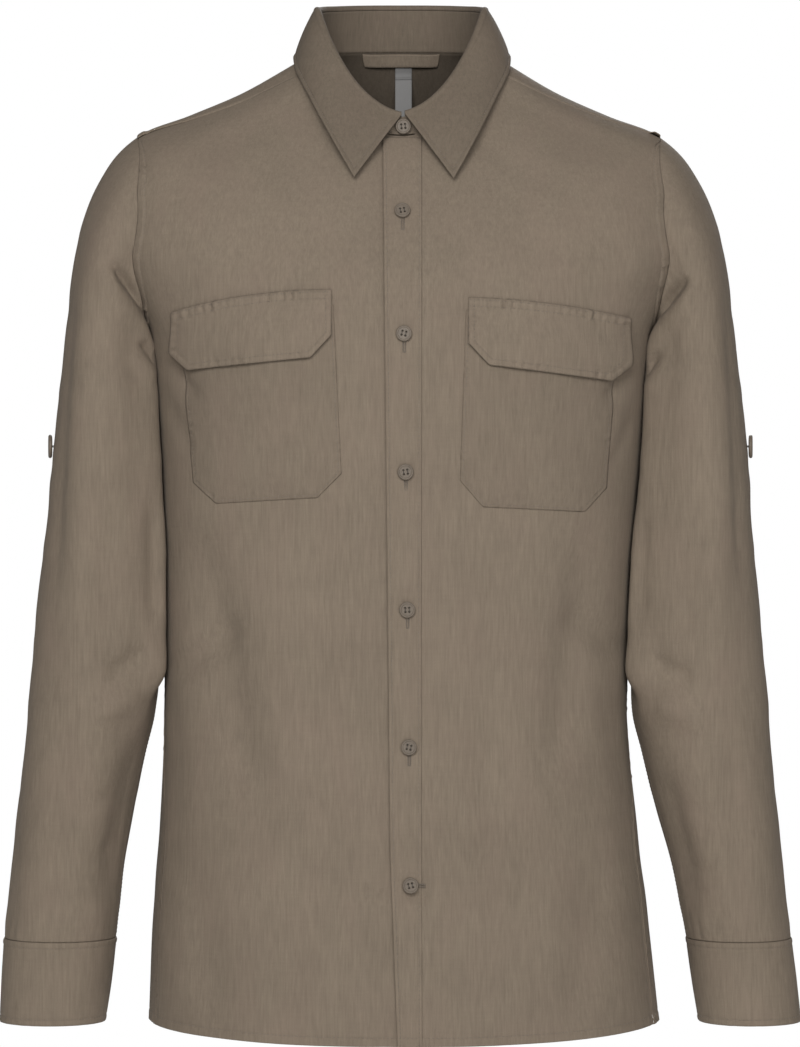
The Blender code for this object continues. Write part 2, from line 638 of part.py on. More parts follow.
def leaf_points():
    """The leaf: sewn to the stand's top, rolled over, and laid out to its edge."""
    start = LEAF_MEETING + LEAF_MEETING_GAP
    end = 360 + LEAF_MEETING - LEAF_MEETING_GAP
    angle = np.concatenate([np.linspace(start, 40, 7)[:-1], np.linspace(40, 320, 23)[:-1], np.linspace(320, end, 7)])
    top = collar_value("stand", angle)
    seam = stand_point(angle, top)
    outward = stand_base(angle)
    outward[:, 2] = 0
    outward = unit(outward)
    centre = seam + outward * ROLL_RADIUS
    centre[:, 2] += LEAF_RISE + ROLL_RISE
    rows = [seam + np.array([0, 0, LEAF_RISE])]
    for turn in np.radians((0, 45, 90, 135, 180)):
        row = centre - outward * ROLL_RADIUS * math.cos(turn)
        row[:, 2] += ROLL_RADIUS * math.sin(turn)
        rows.append(row)
    side = np.where(angle < 180, 1.0, -1.0)
    edge = np.stack([
        COLLAR_SHIFT_X * np.cos(np.radians(angle / 2)) ** 2 + side * collar_value("edge_x", angle),
        collar_value("edge_y", angle),
        collar_value("edge_z", angle) - side * COLLAR_TILT * np.clip(np.cos(np.radians(angle)), 0, 1),
    ], axis=-1)
    fold = rows[-1]
    control = (fold + edge) / 2 + outward * 3
    for t in np.linspace(0, 1, 6)[1:]:
        rows.append(fold * (1 - t) ** 2 + control * 2 * t * (1 - t) + edge * t * t)
    return np.array(rows)


def cuff_points(side):
    """Grid of a cuff: a strip wrapped once round the wrist, its top end lapped over the lower one."""
    turn = np.linspace(0, 360 + CUFF_OVERLAP, 29)
    station = CUFF_START - CUFF_OVERLAP / 2 + turn
    under = np.clip(1 - turn / (CUFF_OVERLAP + 22), 0, 1)
    under = np.clip(under * 2.4, 0, 1)
    step = (under * under * (3 - 2 * under)) * (DOUBLE_CLOTH + SEAM_GAP + 0.1)
    rows = []
    for z in np.linspace(CUFF_BOTTOM, CUFF_TOP - CUFF_CLEARANCE, 5):
        ring = sleeve_ring(side, np.full(len(station), z), station)
        middle = ring[:-3].mean(axis=0)
        rows.append(ring - unit(ring - middle) * step[:, None])
    return np.array(rows)


def slit_points(side):
    """The strip on the sleeve's slit, made from the sleeve's own rings and moved out."""
    rows = []
    for z in np.linspace(CUFF_TOP + 1, SLIT_TOP, 9):
        stations = SLIT_ANGLE + np.linspace(-1, 1, 4) * SLIT_WIDTH / 2 * 1.25
        rows.append(sleeve_ring(side, np.full(4, z), stations))
    rows = np.array(rows)
    outward = rows - np.array([side * 262, -18, 0])
    outward[..., 2] = 0
    return rows + unit(outward) * (LAYER + 0.3)


def loop_points():
    """The hanger loop: a short strip inside the back neck, sewn at both ends and bowed off the yoke."""
    share = np.linspace(-1, 1, 13)
    angle = 180 + share * math.degrees(LOOP_HALF_WIDTH / TRUNK[NECK_LEVEL - 1].back)
    off = LAYER + 2.4 * (1 - share**4)
    rows = []
    for drop in np.linspace(LOOP_HEIGHT, 0, 3):
        level = find_drop(angle, drop + 0.6)
        rows.append(shirt_surface(angle, level, -off))
    return np.array(rows)


def find_drop(angle, drop):
    """The level at which the cloth has fallen by drop below the neck seam."""
    top = bare_surface(angle, np.full(len(angle), float(NECK_LEVEL)))[:, 2]
    level = np.full(len(angle), NECK_LEVEL - 0.5)
    for _ in range(LEVEL_STEPS):
        level += (top - drop - bare_surface(angle, level)[:, 2]) / DROP_DAMPING
        level = np.minimum(level, NECK_LEVEL)
    return level


def label_points(top, length, out):
    """A ribbon sewn in at the neck seam: it follows the yoke's inside, then hangs straight down."""
    z = top - length * np.linspace(0, 1, 9)[:, None]
    x = LABEL_LEFT + LABEL_WIDTH * np.linspace(0, 1, 3) + 0 * z
    sewn_z = np.maximum(z, LABEL_FREE_Z) + 0 * x
    angle, level = find_on_trunk(x, sewn_z, 0, 180 - x, NECK_LEVEL - 0.5 + 0 * x)
    points = shirt_surface(angle, level, out)
    points[..., 2] += z - sewn_z
    return points


def button_curve(name, button):
    """A flat curve with four holes, extruded to the button's thickness."""
    curve = bpy.data.curves.new(name, "CURVE")
    curve.dimensions = "2D"
    curve.fill_mode = "BOTH"
    curve.extrude = button.thickness / 2 * MM
    half = button.spacing / 2
    add_circle(curve, 0, 0, button.diameter / 2, BUTTON_SIDES)
    for x, y in ((-half, -half), (half, -half), (half, half), (-half, half)):
        add_circle(curve, x, y, button.hole / 2, HOLE_SIDES)
    return curve


def add_circle(curve, x, y, radius, sides):
    """A closed round spline with the given number of straight sides."""
    spline = curve.splines.new("POLY")
    spline.points.add(sides - 1)
    spline.use_cyclic_u = True
    for number, point in enumerate(spline.points):
        turn = 2 * math.pi * number / sides
        point.co = ((x + radius * math.cos(turn)) * MM, (y + radius * math.sin(turn)) * MM, 0, 1)


def seat_button(name, curve, place, outward, look):
    """Places a button at place, its face turned to outward."""
    item = bpy.data.objects.new(name, curve)
    item.rotation_mode = "QUATERNION"
    item.rotation_quaternion = look.turn(outward)
    item.location = place * MM
    look.collection.objects.link(item)
    return item


class Look:
    """The materials and the collection that every piece goes to."""

    def __init__(self):
        self.cloth = plain_material("cloth", CLOTH_COLOUR, 0.85)
        self.button = plain_material("button", BUTTON_COLOUR, 0.4)
        self.label = plain_material("label", LABEL_COLOUR, 0.7)
        self.collection = bpy.data.collections.new("safari_shirt")
        bpy.context.scene.collection.children.link(self.collection)

    @staticmethod
    def turn(outward):
        return Vector(outward).to_track_quat("Z", "Y")


def add_panels(look):
    add_cloth("front_right", front_panel(-1), CLOTH, look)
    add_cloth("front_left", front_panel(1), CLOTH, look)
    add_cloth("back", back_panel(), CLOTH, look)
    add_cloth("yoke", yoke_panel(), CLOTH, look)
    add_cloth("placket", placket_points(), DOUBLE_CLOTH, look)


def add_sleeves(look):
    for side, name in ((-1, "right"), (1, "left")):
        add_cloth(f"sleeve_{name}", sleeve_points(side), CLOTH, look)
        add_cloth(f"cuff_{name}", cuff_points(side), DOUBLE_CLOTH, look)
        add_cloth(f"sleeve_placket_{name}", slit_points(side), CLOTH, look)


def add_collar(look):
    add_cloth("collar_stand", stand_points(), DOUBLE_CLOTH, look)
    add_cloth("collar_leaf", leaf_points(), DOUBLE_CLOTH, look)
    add_cloth("hanger_loop", loop_points(), CLOTH, look)


def add_pockets(look):
    pocket_out = LAYER + PATCH_SLACK
    flap_out = 2 * LAYER + 2 * PATCH_SLACK
    for patch in (POCKET_RIGHT, POCKET_LEFT):
        add_cloth(patch.name, patch_points(patch, pocket_out, 10, 10), CLOTH, look)
    for patch in (FLAP_RIGHT, FLAP_LEFT):
        add_cloth(patch.name, patch_points(patch, flap_out, 12, 5), CLOTH, look)


def add_labels(look):
    behind = -(CLOTH / 2 + SEAM_GAP + LABEL_CLOTH / 2)
    before = behind - LABEL_CLOTH - SEAM_GAP
    ribbons = (
        ("neck_label", label_points(LABEL_TOP, LABEL_LENGTH, behind)),
        ("size_label", label_points(SIZE_LABEL_TOP, SIZE_LABEL_LENGTH, before)),
    )
    for name, points in ribbons:
        item = add_cloth(name, points, LABEL_CLOTH, look)
        item.data.materials[0] = look.label


def front_button_heights():
    lower = FRONT_BUTTON_SECOND - FRONT_BUTTON_SPACING * np.arange(FRONT_BUTTON_COUNT - 1)
    return np.concatenate([[FRONT_BUTTON_TOP], lower])


def add_buttons(look):
    small = button_curve("shirt_button", SHIRT_BUTTON)
    large = button_curve("roll_up_button", ROLL_UP_BUTTON)
    small.materials.append(look.button)
    large.materials.append(look.button)
    lift = SHIRT_BUTTON.thickness / 2 + SEAM_GAP
    heights = front_button_heights()
    band_face = CLOTH / 2 + SEAM_GAP + DOUBLE_CLOTH
    for number, z in enumerate(heights, 1):
        share = (heights[0] - z) / (heights[0] - heights[-1])
        x = FRONT_BUTTON_X_TOP + (FRONT_BUTTON_X_BOTTOM - FRONT_BUTTON_X_TOP) * share
        under = on_front(x, z, 0.0)
        place = on_front(x, z, band_face + lift + 0.1)
        seat_button(f"button_front_{number}", small, place, place - under, look)
    collar_place = stand_point(np.array([1.5]), np.array([COLLAR_BUTTON_HEIGHT]))[0]
    outward = np.array([0.0, -1.0, 0.08])
    collar_place = collar_place + outward * (DOUBLE_CLOTH / 2 + lift + 0.1)
    seat_button("button_collar", small, collar_place, outward, look)
    for side, name in ((-1, "right"), (1, "left")):
        add_sleeve_buttons(side, name, small, large, look)


def add_sleeve_buttons(side, name, small, large, look):
    ring = sleeve_ring(side, np.full(3, ROLL_UP_BUTTON_Z), np.array([-20.0, 0.0, 20.0]) + ROLL_UP_BUTTON_STATION)
    along = ring[2] - ring[0]
    outward = unit(np.array([side * abs(along[1]), -abs(along[0]), 0.0]))
    place = ring[1] + outward * (CLOTH / 2 + SEAM_GAP + ROLL_UP_BUTTON.thickness / 2 + 0.8)
    seat_button(f"button_sleeve_{name}", large, place, outward, look)
    middle_z = (CUFF_TOP + CUFF_BOTTOM) / 2
    station = CUFF_START + np.array([-8.0, 0.0, 8.0])
    ring = sleeve_ring(side, np.full(3, middle_z), station)
    along = ring[2] - ring[0]
    outward = unit(np.array([side * abs(along[1]), abs(along[0]), 0.0]))
    place = ring[1] + outward * (DOUBLE_CLOTH / 2 + SEAM_GAP + SHIRT_BUTTON.thickness / 2 + 0.5)
    seat_button(f"button_cuff_{name}", small, place, outward, look)


def main():
    clear_scene()
    look = Look()
    add_panels(look)
    add_sleeves(look)
    add_collar(look)
    add_pockets(look)
    add_labels(look)
    add_buttons(look)


main()
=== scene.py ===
"""Safari shirt: cloth, sewing, buttons and stage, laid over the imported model.

The script works in millimetres and writes metres. X runs to the wearer's left, the front faces -Y and +Z is up.
The trunk is one surface, shirt_surface(angle, level), and each panel is a stretch of it, as in the solids.
"""

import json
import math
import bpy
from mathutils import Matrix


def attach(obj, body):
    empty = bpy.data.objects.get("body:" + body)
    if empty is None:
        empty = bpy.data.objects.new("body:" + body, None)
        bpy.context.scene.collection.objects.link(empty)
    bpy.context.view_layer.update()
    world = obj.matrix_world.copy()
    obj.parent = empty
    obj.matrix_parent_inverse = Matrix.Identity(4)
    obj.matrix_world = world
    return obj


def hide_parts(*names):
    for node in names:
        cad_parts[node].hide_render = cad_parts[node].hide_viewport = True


bl_info = {
    "name": "Safari shirt",
    "version": (1, 0, 0),
    "blender": (4, 5, 0),
    "location": "View3D > Sidebar > Shirt",
    "description": "Dresses the safari shirt's frame with cloth, stitches and buttons",
    "category": "Object",
}

from collections import namedtuple

import bmesh
import bpy
import numpy as np
from mathutils import Vector

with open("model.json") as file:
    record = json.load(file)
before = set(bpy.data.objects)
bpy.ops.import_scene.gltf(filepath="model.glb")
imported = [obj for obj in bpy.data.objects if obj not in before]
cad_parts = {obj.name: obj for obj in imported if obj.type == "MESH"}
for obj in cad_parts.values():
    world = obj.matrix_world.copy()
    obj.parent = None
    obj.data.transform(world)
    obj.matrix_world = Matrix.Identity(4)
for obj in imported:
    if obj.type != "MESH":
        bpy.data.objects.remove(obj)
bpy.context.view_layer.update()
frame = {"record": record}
SLOT_COLOURS = {row["slot"]: row["base_color"] for row in frame["record"]["materials"]}
MM = 0.001

# Trunk: one row for each level. Rings near the neck tilt, so each has its own height in front, beside and behind.
Ring = namedtuple("Ring", "name z_front z_side z_back half_width front back squareness centre side_seam")
TRUNK = (
    Ring("hem", -742, -734, -742, 195, 122, 118, 2.40, 2.5, 70),
    Ring("low_hip", -660, -660, -660, 190, 119, 115, 2.40, 0, 70),
    Ring("hip", -590, -590, -590, 183.5, 116, 108, 2.35, -1.5, 71),
    Ring("waist", -495, -495, -495, 177.5, 113, 101, 2.30, -4, 86),
    Ring("ribs", -400, -400, -400, 179, 115, 103, 2.35, -2.5, 90),
    Ring("under_pocket", -300, -300, -300, 185, 119, 110, 2.40, 0, 90),
    Ring("chest", -240, -232, -236, 189, 121, 115, 2.55, 0, 90),
    Ring("armpit", -218, -212, -214, 191.5, 120, 117, 2.65, 0, 90),
    Ring("low_armhole", -196, -184, -186, 203, 118, 118, 2.55, 0, 90),
    Ring("mid_armhole", -171, -138, -147, 222, 114, 117, 2.38, 0, 90),
    Ring("high_armhole", -146, -95, -110, 223, 107, 112, 2.28, 0, 90),
    Ring("shoulder_tip", -123, -58, -76, 200, 98.5, 101, 2.20, -1.5, 90),
    Ring("outer_shoulder", -106, -42, -50, 161, 90.5, 89, 2.15, -1, 90),
    Ring("mid_shoulder", -89, -24.5, -26, 121, 81.5, 77, 2.10, 0, 90),
    Ring("inner_shoulder", -74, -6, -4, 89, 72.5, 68, 2.05, 0, 90),
    Ring("neck", -62, 9, 15, 65, 64, 62, 2.00, 0, 90),
)
NECK_LEVEL = len(TRUNK) - 1
ARMPIT_LEVEL = 7
RING_RISE_POWER = 2.3
FACING_GAIN = 2.5
NUDGE_ANGLE = 0.5
NUDGE_LEVEL = 0.02

# Armhole: an egg in the side view. Its stations run from the front yoke seam round the underarm.
ARMHOLE_MIDDLE = -135
ARMHOLE_HALF_HEIGHT = 77
ARMHOLE_FRONT = 60
ARMHOLE_BACK = 64
ARMHOLE_STEP = 2.5
YOKE_FRONT_STATION = 15
YOKE_BACK_STATION = -60
YOKE_FRONT_AT_NECK = 66
YOKE_BACK_AT_NECK = 100
YOKE_BACK_Z = -97
YOKE_LAP = 1.3
YOKE_EDGE_RISE = 0.45
YOKE_EDGE_DROP = 0.55
BACK_SEAM_POWER = 6

# Sleeves, one row for each height
Sleeve = namedtuple(
    "Sleeve", "z right_outer right_inner left_outer left_inner middle_y half_depth squareness wrap"
)
SLEEVE = (
    Sleeve(-222, 258.5, 193.5, 257, 193.5, 2, 66, 2.3, 11.6),
    Sleeve(-262, 263, 190.5, 262, 190.5, 1, 67, 2.35, 11.2),
    Sleeve(-300, 266.5, 188.5, 265.5, 188.5, 0, 66, 2.35, 11.1),
    Sleeve(-376, 274, 185, 270.5, 181.5, -3, 62, 2.3, 11.9),
    Sleeve(-440, 280.5, 184, 276, 177.5, -6, 58.5, 2.25, 12.1),
    Sleeve(-466, 282.6, 185.6, 278.4, 177.2, -7.5, 57.2, 2.2, 13.6),
    Sleeve(-491, 285, 187.6, 281, 176.8, -9, 56, 2.2, 3),
    Sleeve(-530, 288.8, 196, 284, 185, -11, 53.5, 2.15, 0),
    Sleeve(-568, 292.6, 204, 287, 194.5, -13, 51, 2.1, 0),
    Sleeve(-607, 296.5, 210.5, 291, 205, -16, 48, 2.1, 0),
    Sleeve(-645, 300.3, 215.5, 294.5, 213.5, -18, 45, 2.1, 0),
    Sleeve(-671, 302.5, 218.5, 297.5, 218.5, -20, 42, 2.05, 0),
    Sleeve(-700, 304.2, 221.5, 301, 222.5, -22, 40, 2.05, 0),
    Sleeve(-734, 305.5, 226.5, 304.5, 228, -24, 38.5, 2.05, 0),
)
WRAP_STATION = 144
WRAP_SPREAD = 12
CUFF_TOP = -671
CUFF_BOTTOM = -734
CUFF_OVERLAP = 32
CUFF_START = 300

# Folds: soft ridges (+) and troughs (-) along a line in the front view. Width is the half width of the fold.
Fold = namedtuple("Fold", "x0 z0 x1 z1 height width")
FRONT_FOLDS = (
    Fold(-150, -365, -112, -560, -3.5, 17),
    Fold(-92, -380, -70, -640, 2.5, 20),
    Fold(137, -370, 116, -540, -3.5, 15),
    Fold(42, -370, 46, -680, 2.0, 16),
    Fold(-172, -470, -120, -430, -3.0, 11),
    Fold(170, -455, 128, -420, -3.0, 11),
    Fold(-160, -600, -140, -730, -2.5, 18),
    Fold(150, -600, 128, -730, -2.5, 18),
    Fold(-178, -232, -150, -262, -1.8, 6),
    Fold(-176, -262, -158, -300, -1.2, 5),
    Fold(178, -236, 152, -262, -1.8, 6),
    Fold(176, -270, 160, -312, -1.2, 5),
    Fold(-20, -640, -14, -742, -1.6, 9),
    Fold(34, -655, 28, -742, -1.4, 8),
    Fold(4, -628, 20, -636, -2.2, 4),
    Fold(-30, -626, -8, -634, -1.2, 5),
    Fold(-112, -90, -96, -190, -0.9, 12),
    Fold(104, -92, 92, -180, -0.9, 12),
    Fold(-66, -110, -58, -175, 0.7, 12),
    Fold(62, -112, 70, -170, 0.7, 12),
)
BACK_FOLDS = (
    Fold(-120, -170, -70, -420, -4.0, 20),
    Fold(124, -175, 76, -430, -4.0, 20),
    Fold(4, -160, -6, -560, 2.5, 26),
    Fold(-130, -470, -60, -560, -3.0, 16),
    Fold(128, -490, 66, -590, -3.0, 16),
    Fold(-84, -600, -96, -735, -3.0, 20),
    Fold(70, -610, 88, -735, -3.0, 20),
    Fold(-160, -215, -118, -262, -2.2, 7),
    Fold(158, -222, 120, -272, -2.2, 7),
    Fold(-165, -250, -132, -300, -1.6, 6),
    Fold(162, -262, 134, -322, -1.6, 6),
    Fold(-40, -430, 34, -452, -1.5, 9),
    Fold(-70, -395, 8, -412, -1.1, 8),
    Fold(20, -480, 96, -462, -1.3, 9),
    Fold(-96, -512, -22, -498, -1.1, 8),
)
RIGHT_SLEEVE_FOLDS = (
    Fold(-219, -157, -181, -205, -7.5, 4.4),
    Fold(-226, -166, -188, -214, 2.6, 7),
    Fold(-196, -217, -181, -235, -5.5, 3.6),
    Fold(-203, -226, -186, -246, 1.6, 6),
    Fold(-250, -178, -262, -400, -2.2, 5),
    Fold(-188, -335, -187, -430, -4.0, 6),
    Fold(-192, -452, -222, -470, -4.0, 8),
    Fold(-196, -482, -232, -502, 3.5, 10),
    Fold(-200, -520, -226, -640, -3.5, 9),
    Fold(-232, -250, -240, -420, 1.6, 12),
    Fold(-214, -330, -222, -450, -1.6, 10),
    Fold(-250, -500, -262, -640, -1.4, 9),
    Fold(-238, -560, -250, -660, 1.3, 8),
    Fold(-214, -556, -246, -574, -1.2, 6),
    Fold(-216, -600, -240, -610, -1.0, 6),
)
LEFT_SLEEVE_FOLDS = (
    Fold(216, -169, 180, -209, -7.5, 4.4),
    Fold(222, -178, 187, -219, 2.6, 7),
    Fold(195, -226, 180, -244, -5.5, 3.6),
    Fold(201, -236, 186, -255, 1.6, 6),
    Fold(247, -180, 258, -400, -2.2, 5),
    Fold(184, -345, 180, -435, -3.0, 6),
    Fold(188, -458, 220, -474, -4.0, 8),
    Fold(192, -490, 230, -506, 3.5, 10),
    Fold(198, -540, 226, -650, -3.5, 9),
    Fold(230, -260, 236, -430, 1.6, 12),
    Fold(210, -345, 216, -455, -1.6, 10),
    Fold(246, -500, 258, -640, -1.4, 9),
    Fold(236, -565, 248, -660, 1.3, 8),
    Fold(212, -566, 242, -580, -1.2, 6),
    Fold(214, -612, 238, -620, -1.0, 6),
)
FOLD_GAIN = 1.45
FOLD_FADE_GAIN = 2.5
FOLD_END_SHARE = 0.35

# Slow waves in the cloth: wave length across and along, height and start
Wave = namedtuple("Wave", "across along height start")
TRUNK_WAVES = (
    Wave(74, 610, 0.55, 0.4),
    Wave(47, 380, 0.35, 1.9),
    Wave(31, 240, 0.18, 4.0),
    Wave(260, 95, 0.3, 2.2),
)
SLEEVE_WAVES = (
    Wave(52, 330, 0.55, 0.8),
    Wave(33, 190, 0.3, 3.1),
    Wave(150, 88, 0.45, 5.0),
    Wave(90, 41, 0.2, 1.2),
)

# Button front
Band = namedtuple("Band", "z free_edge stitched_edge")
PLACKET = (Band(-742, -2.5, 15.5), Band(-600, -8, 15), Band(-400, -10, 15), Band(-62, -13.7, 15.5))
UNDERLAP = 13
UNDER_STEP_X = -24
UNDER_STEP_WIDTH = 12
BAND_SEWN_OVER = 5
BUTTON_HEIGHTS = (-123.4, -214.8, -316.8, -418.8, -520.8, -622.8)
FRONT_BUTTON_X_TOP = 1
FRONT_BUTTON_X_BOTTOM = 7

# Patch pockets and their flaps
Patch = namedtuple("Patch", "name top_left top_right low_left low_right bow cut_width cut_height")
POCKET_RIGHT = Patch("pocket_right", (-167, -203), (-50, -193), (-156, -341), (-44, -335), 2, 18, 17)
POCKET_LEFT = Patch("pocket_left", (48, -197), (163, -208), (43.5, -342), (154, -347), 2, 17, 19)
FLAP_RIGHT = Patch("flap_right", (-171, -196.7), (-51.4, -182.3), (-171, -241), (-51.4, -231), 4, 15, 15)
FLAP_LEFT = Patch("flap_left", (50, -187.8), (171, -201), (49.6, -236), (170, -249.5), 2.5, 15, 14)

# Collar, one row for each angle round the neck
Collar = namedtuple("Collar", "angle stand edge_x edge_y edge_z")
COLLAR = (
    Collar(0, 12.5, 36.5, -93, -98.5),
    Collar(30, 20, 52, -83, -70),
    Collar(60, 24, 69, -55, -35),
    Collar(76, 27, 81.2, -24, -8.2),
    Collar(90, 28.8, 82.8, -2, 3),
    Collar(120, 31.5, 73, 48, 6),
    Collar(150, 32, 44, 72, 6),
    Collar(180, 32, 0, 79, 6),
)
COLLAR_SHIFT_X = 1.5
COLLAR_TILT = 1.5
STAND_RISE = 0.6
STAND_LEAN = 0.05
STAND_TOP_END = -12.6
STAND_UNDER_END = 11
STAND_END_ROUND = 9
STAND_UNDER_STEP = 2.1
ROLL_RADIUS = 2.4
LEAF_RISE = 0.25
LEAF_ROLL_RISE = 1.2
LEAF_BULGE = 3
COLLAR_BUTTON_HEIGHT = 5.3
LEAF_MEETING = 1.4
LEAF_MEETING_GAP = 1.1

# Neck trims
LOOP_HALF_WIDTH = 31
LOOP_HEIGHT = 10
LABEL_LEFT = -4.7
LABEL_WIDTH = 13.3
LABEL_TOP = 9
LABEL_FREE_Z = -4
LABEL_LENGTH = 49
SIZE_LABEL_TOP = 2
SIZE_LABEL_LENGTH = 7

# Buttons
ROLL_UP_BUTTON_Z = -296
ROLL_UP_BUTTON_STATION = 14
SLIT_WIDTH = 22
SLIT_TOP = -545
SLIT_ANGLE = 285

# Solving for a place on the trunk
SOLVER_STEPS = 14
SOLVER_NUDGE = 0.01
MOST_ANGLE_STEP = 12
MOST_LEVEL_STEP = 0.8
LEVEL_STEPS = 30
LEVEL_DAMPING = 40
DROP_DAMPING = 30

# How finely each piece is divided, in millimetres
GRID = 3.3
SEAM_GRID = 0.85
SEAM_BAND = 12


def smooth_through(values, at):
    """A monotone cubic through values at 0, 1, 2, ..., read at each number of at."""
    values = np.asarray(values, float)
    at = np.clip(np.asarray(at, float), 0, len(values) - 1)
    step = np.diff(values)
    slope = np.zeros(len(values))
    slope[0] = step[0]
    slope[-1] = step[-1]
    rising = step[:-1] * step[1:] > 0
    both = np.where(rising, step[:-1] + step[1:], 1)
    slope[1:-1] = np.where(rising, 2 * step[:-1] * step[1:] / both, 0)
    low = np.minimum(at.astype(int), len(values) - 2)
    t = at - low
    start = values[low] * (1 + 2 * t) * (1 - t) ** 2 + slope[low] * t * (1 - t) ** 2
    end = values[low + 1] * t * t * (3 - 2 * t) + slope[low + 1] * t * t * (t - 1)
    return start + end


def column(table, name, at):
    return smooth_through([getattr(row, name) for row in table], at)


def rank(table, key, value):
    """The row number, with its fraction, where the column key holds value."""
    keys = np.array([getattr(row, key) for row in table], float)
    order = np.argsort(keys)
    return np.interp(value, keys[order], order.astype(float))


def ease(share):
    """0 to 1 with a soft start and end."""
    share = np.clip(share, 0, 1)
    return share * share * (3 - 2 * share)


def direction_on_oval(angle, squareness):
    """Sine and cosine of angle, pushed out to a rounded rectangle."""
    sine = np.sin(np.radians(angle))
    cosine = np.cos(np.radians(angle))
    push = (np.abs(sine) ** squareness + np.abs(cosine) ** squareness) ** (-1 / squareness)
    return sine * push, cosine * push


def bare_surface(angle, level):
    """The trunk's middle surface before its folds."""
    angle, level = np.broadcast_arrays(np.asarray(angle, float), np.asarray(level, float))
    across, along = direction_on_oval(angle, column(TRUNK, "squareness", level))
    in_front = along > 0
    depth = np.where(in_front, column(TRUNK, "front", level), column(TRUNK, "back", level))
    z_middle = np.where(in_front, column(TRUNK, "z_front", level), column(TRUNK, "z_back", level))
    rise = np.abs(np.sin(np.radians(angle))) ** RING_RISE_POWER
    x = column(TRUNK, "centre", level) + column(TRUNK, "half_width", level) * across
    z = z_middle + (column(TRUNK, "z_side", level) - z_middle) * rise
    return np.stack([x, -depth * along, z], axis=-1)


def unit(vectors):
    return vectors / np.maximum(np.linalg.norm(vectors, axis=-1, keepdims=True), 1e-9)


def fold_height(folds, x, z):
    """How far the folds lift the cloth at x, z of the front view."""
    height = np.zeros(np.shape(x))
    for fold in folds:
        line = np.array([fold.x1 - fold.x0, fold.z1 - fold.z0], float)
        length = np.linalg.norm(line)
        line /= length
        along = ((x - fold.x0) * line[0] + (z - fold.z0) * line[1]) / length
        aside = (x - fold.x0) * line[1] - (z - fold.z0) * line[0]
        fade = ease(np.minimum(along, 1 - along) * FOLD_FADE_GAIN + FOLD_END_SHARE)
        height += fold.height * fade * np.exp(-((aside / fold.width) ** 2))
    return height


def wave_height(waves, across, along):
    """Slow uneven waves, the same wherever they are read."""
    height = np.zeros(np.shape(across))
    for wave in waves:
        bend = np.sin(along / wave.along * 2 * math.pi * 0.7 + wave.start * 2)
        turn = 2 * math.pi * (across / wave.across + along / wave.along) + wave.start + bend
        height += wave.height * np.sin(turn) * (0.6 + 0.4 * np.sin(along / wave.along * 4 + wave.start))
    return height


def shirt_surface(angle, level, out=0.0):
    """Points of the trunk's middle surface with its folds, moved out by out."""
    angle, level = np.broadcast_arrays(np.asarray(angle, float), np.asarray(level, float))
    point = bare_surface(angle, level)
    low = np.minimum(level, NECK_LEVEL - NUDGE_LEVEL)
    over = bare_surface(angle + NUDGE_ANGLE, low) - bare_surface(angle - NUDGE_ANGLE, low)
    up = bare_surface(angle, low + NUDGE_LEVEL) - bare_surface(angle, low)
    normal = unit(np.cross(over, up))
    facing = np.clip(-normal[..., 1] * FACING_GAIN, 0, 1)
    away = np.clip(normal[..., 1] * FACING_GAIN, 0, 1)
    height = FOLD_GAIN * facing * fold_height(FRONT_FOLDS, point[..., 0], point[..., 2])
    height += FOLD_GAIN * away * fold_height(BACK_FOLDS, point[..., 0], point[..., 2])
    height += wave_height(TRUNK_WAVES, angle * 2.2, point[..., 2]) * ease((NECK_LEVEL - level) / 2)
    return point + normal * (height + out)[..., None]


def find_on_trunk(first, z, axis, angle, level):
    """The angle and level where coordinate axis is first and the height is z, by Newton's method from a start."""
    first, z, angle, level = np.broadcast_arrays(*(np.asarray(a, float) for a in (first, z, angle, level)))
    nudge = SOLVER_NUDGE
    angle = angle.copy()
    level = np.clip(level, 0, NECK_LEVEL - nudge)
    for _ in range(SOLVER_STEPS):
        here = bare_surface(angle, level)
        over = (bare_surface(angle + nudge, level) - here) / nudge
        up = (bare_surface(angle, level + nudge) - here) / nudge
        miss_first = first - here[..., axis]
        miss_z = z - here[..., 2]
        scale = over[..., axis] * up[..., 2] - over[..., 2] * up[..., axis]
        turn = (miss_first * up[..., 2] - miss_z * up[..., axis]) / scale
        rise = (over[..., axis] * miss_z - over[..., 2] * miss_first) / scale
        angle += np.clip(turn, -MOST_ANGLE_STEP, MOST_ANGLE_STEP)
        level += np.clip(rise, -MOST_LEVEL_STEP, MOST_LEVEL_STEP)
        level = np.clip(level, 0, NECK_LEVEL - nudge)
    return angle, level


def find_on_front(x, z):
    start = np.interp(z, [row.z_front for row in TRUNK], range(len(TRUNK)))
    return find_on_trunk(x, z, 0, np.asarray(x, float) * 0.35, start)


def on_front(x, z, out):
    """Points of the front at x, z of the front view, moved out."""
    angle, level = find_on_front(x, z)
    return shirt_surface(angle, level, out)


def armhole_stations(first, last):
    """Angle and level of the wearer's left armhole, at stations from first to last degrees."""
    station = np.arange(first, last + ARMHOLE_STEP / 2, ARMHOLE_STEP)
    sine = np.sin(np.radians(station))
    y = -np.where(sine > 0, ARMHOLE_FRONT, ARMHOLE_BACK) * sine
    z = ARMHOLE_MIDDLE + ARMHOLE_HALF_HEIGHT * np.cos(np.radians(station))
    start = np.interp(z, [row.z_side for row in TRUNK], range(len(TRUNK)))
    return find_on_trunk(y, z, 1, 90 + y * 0.5, start)


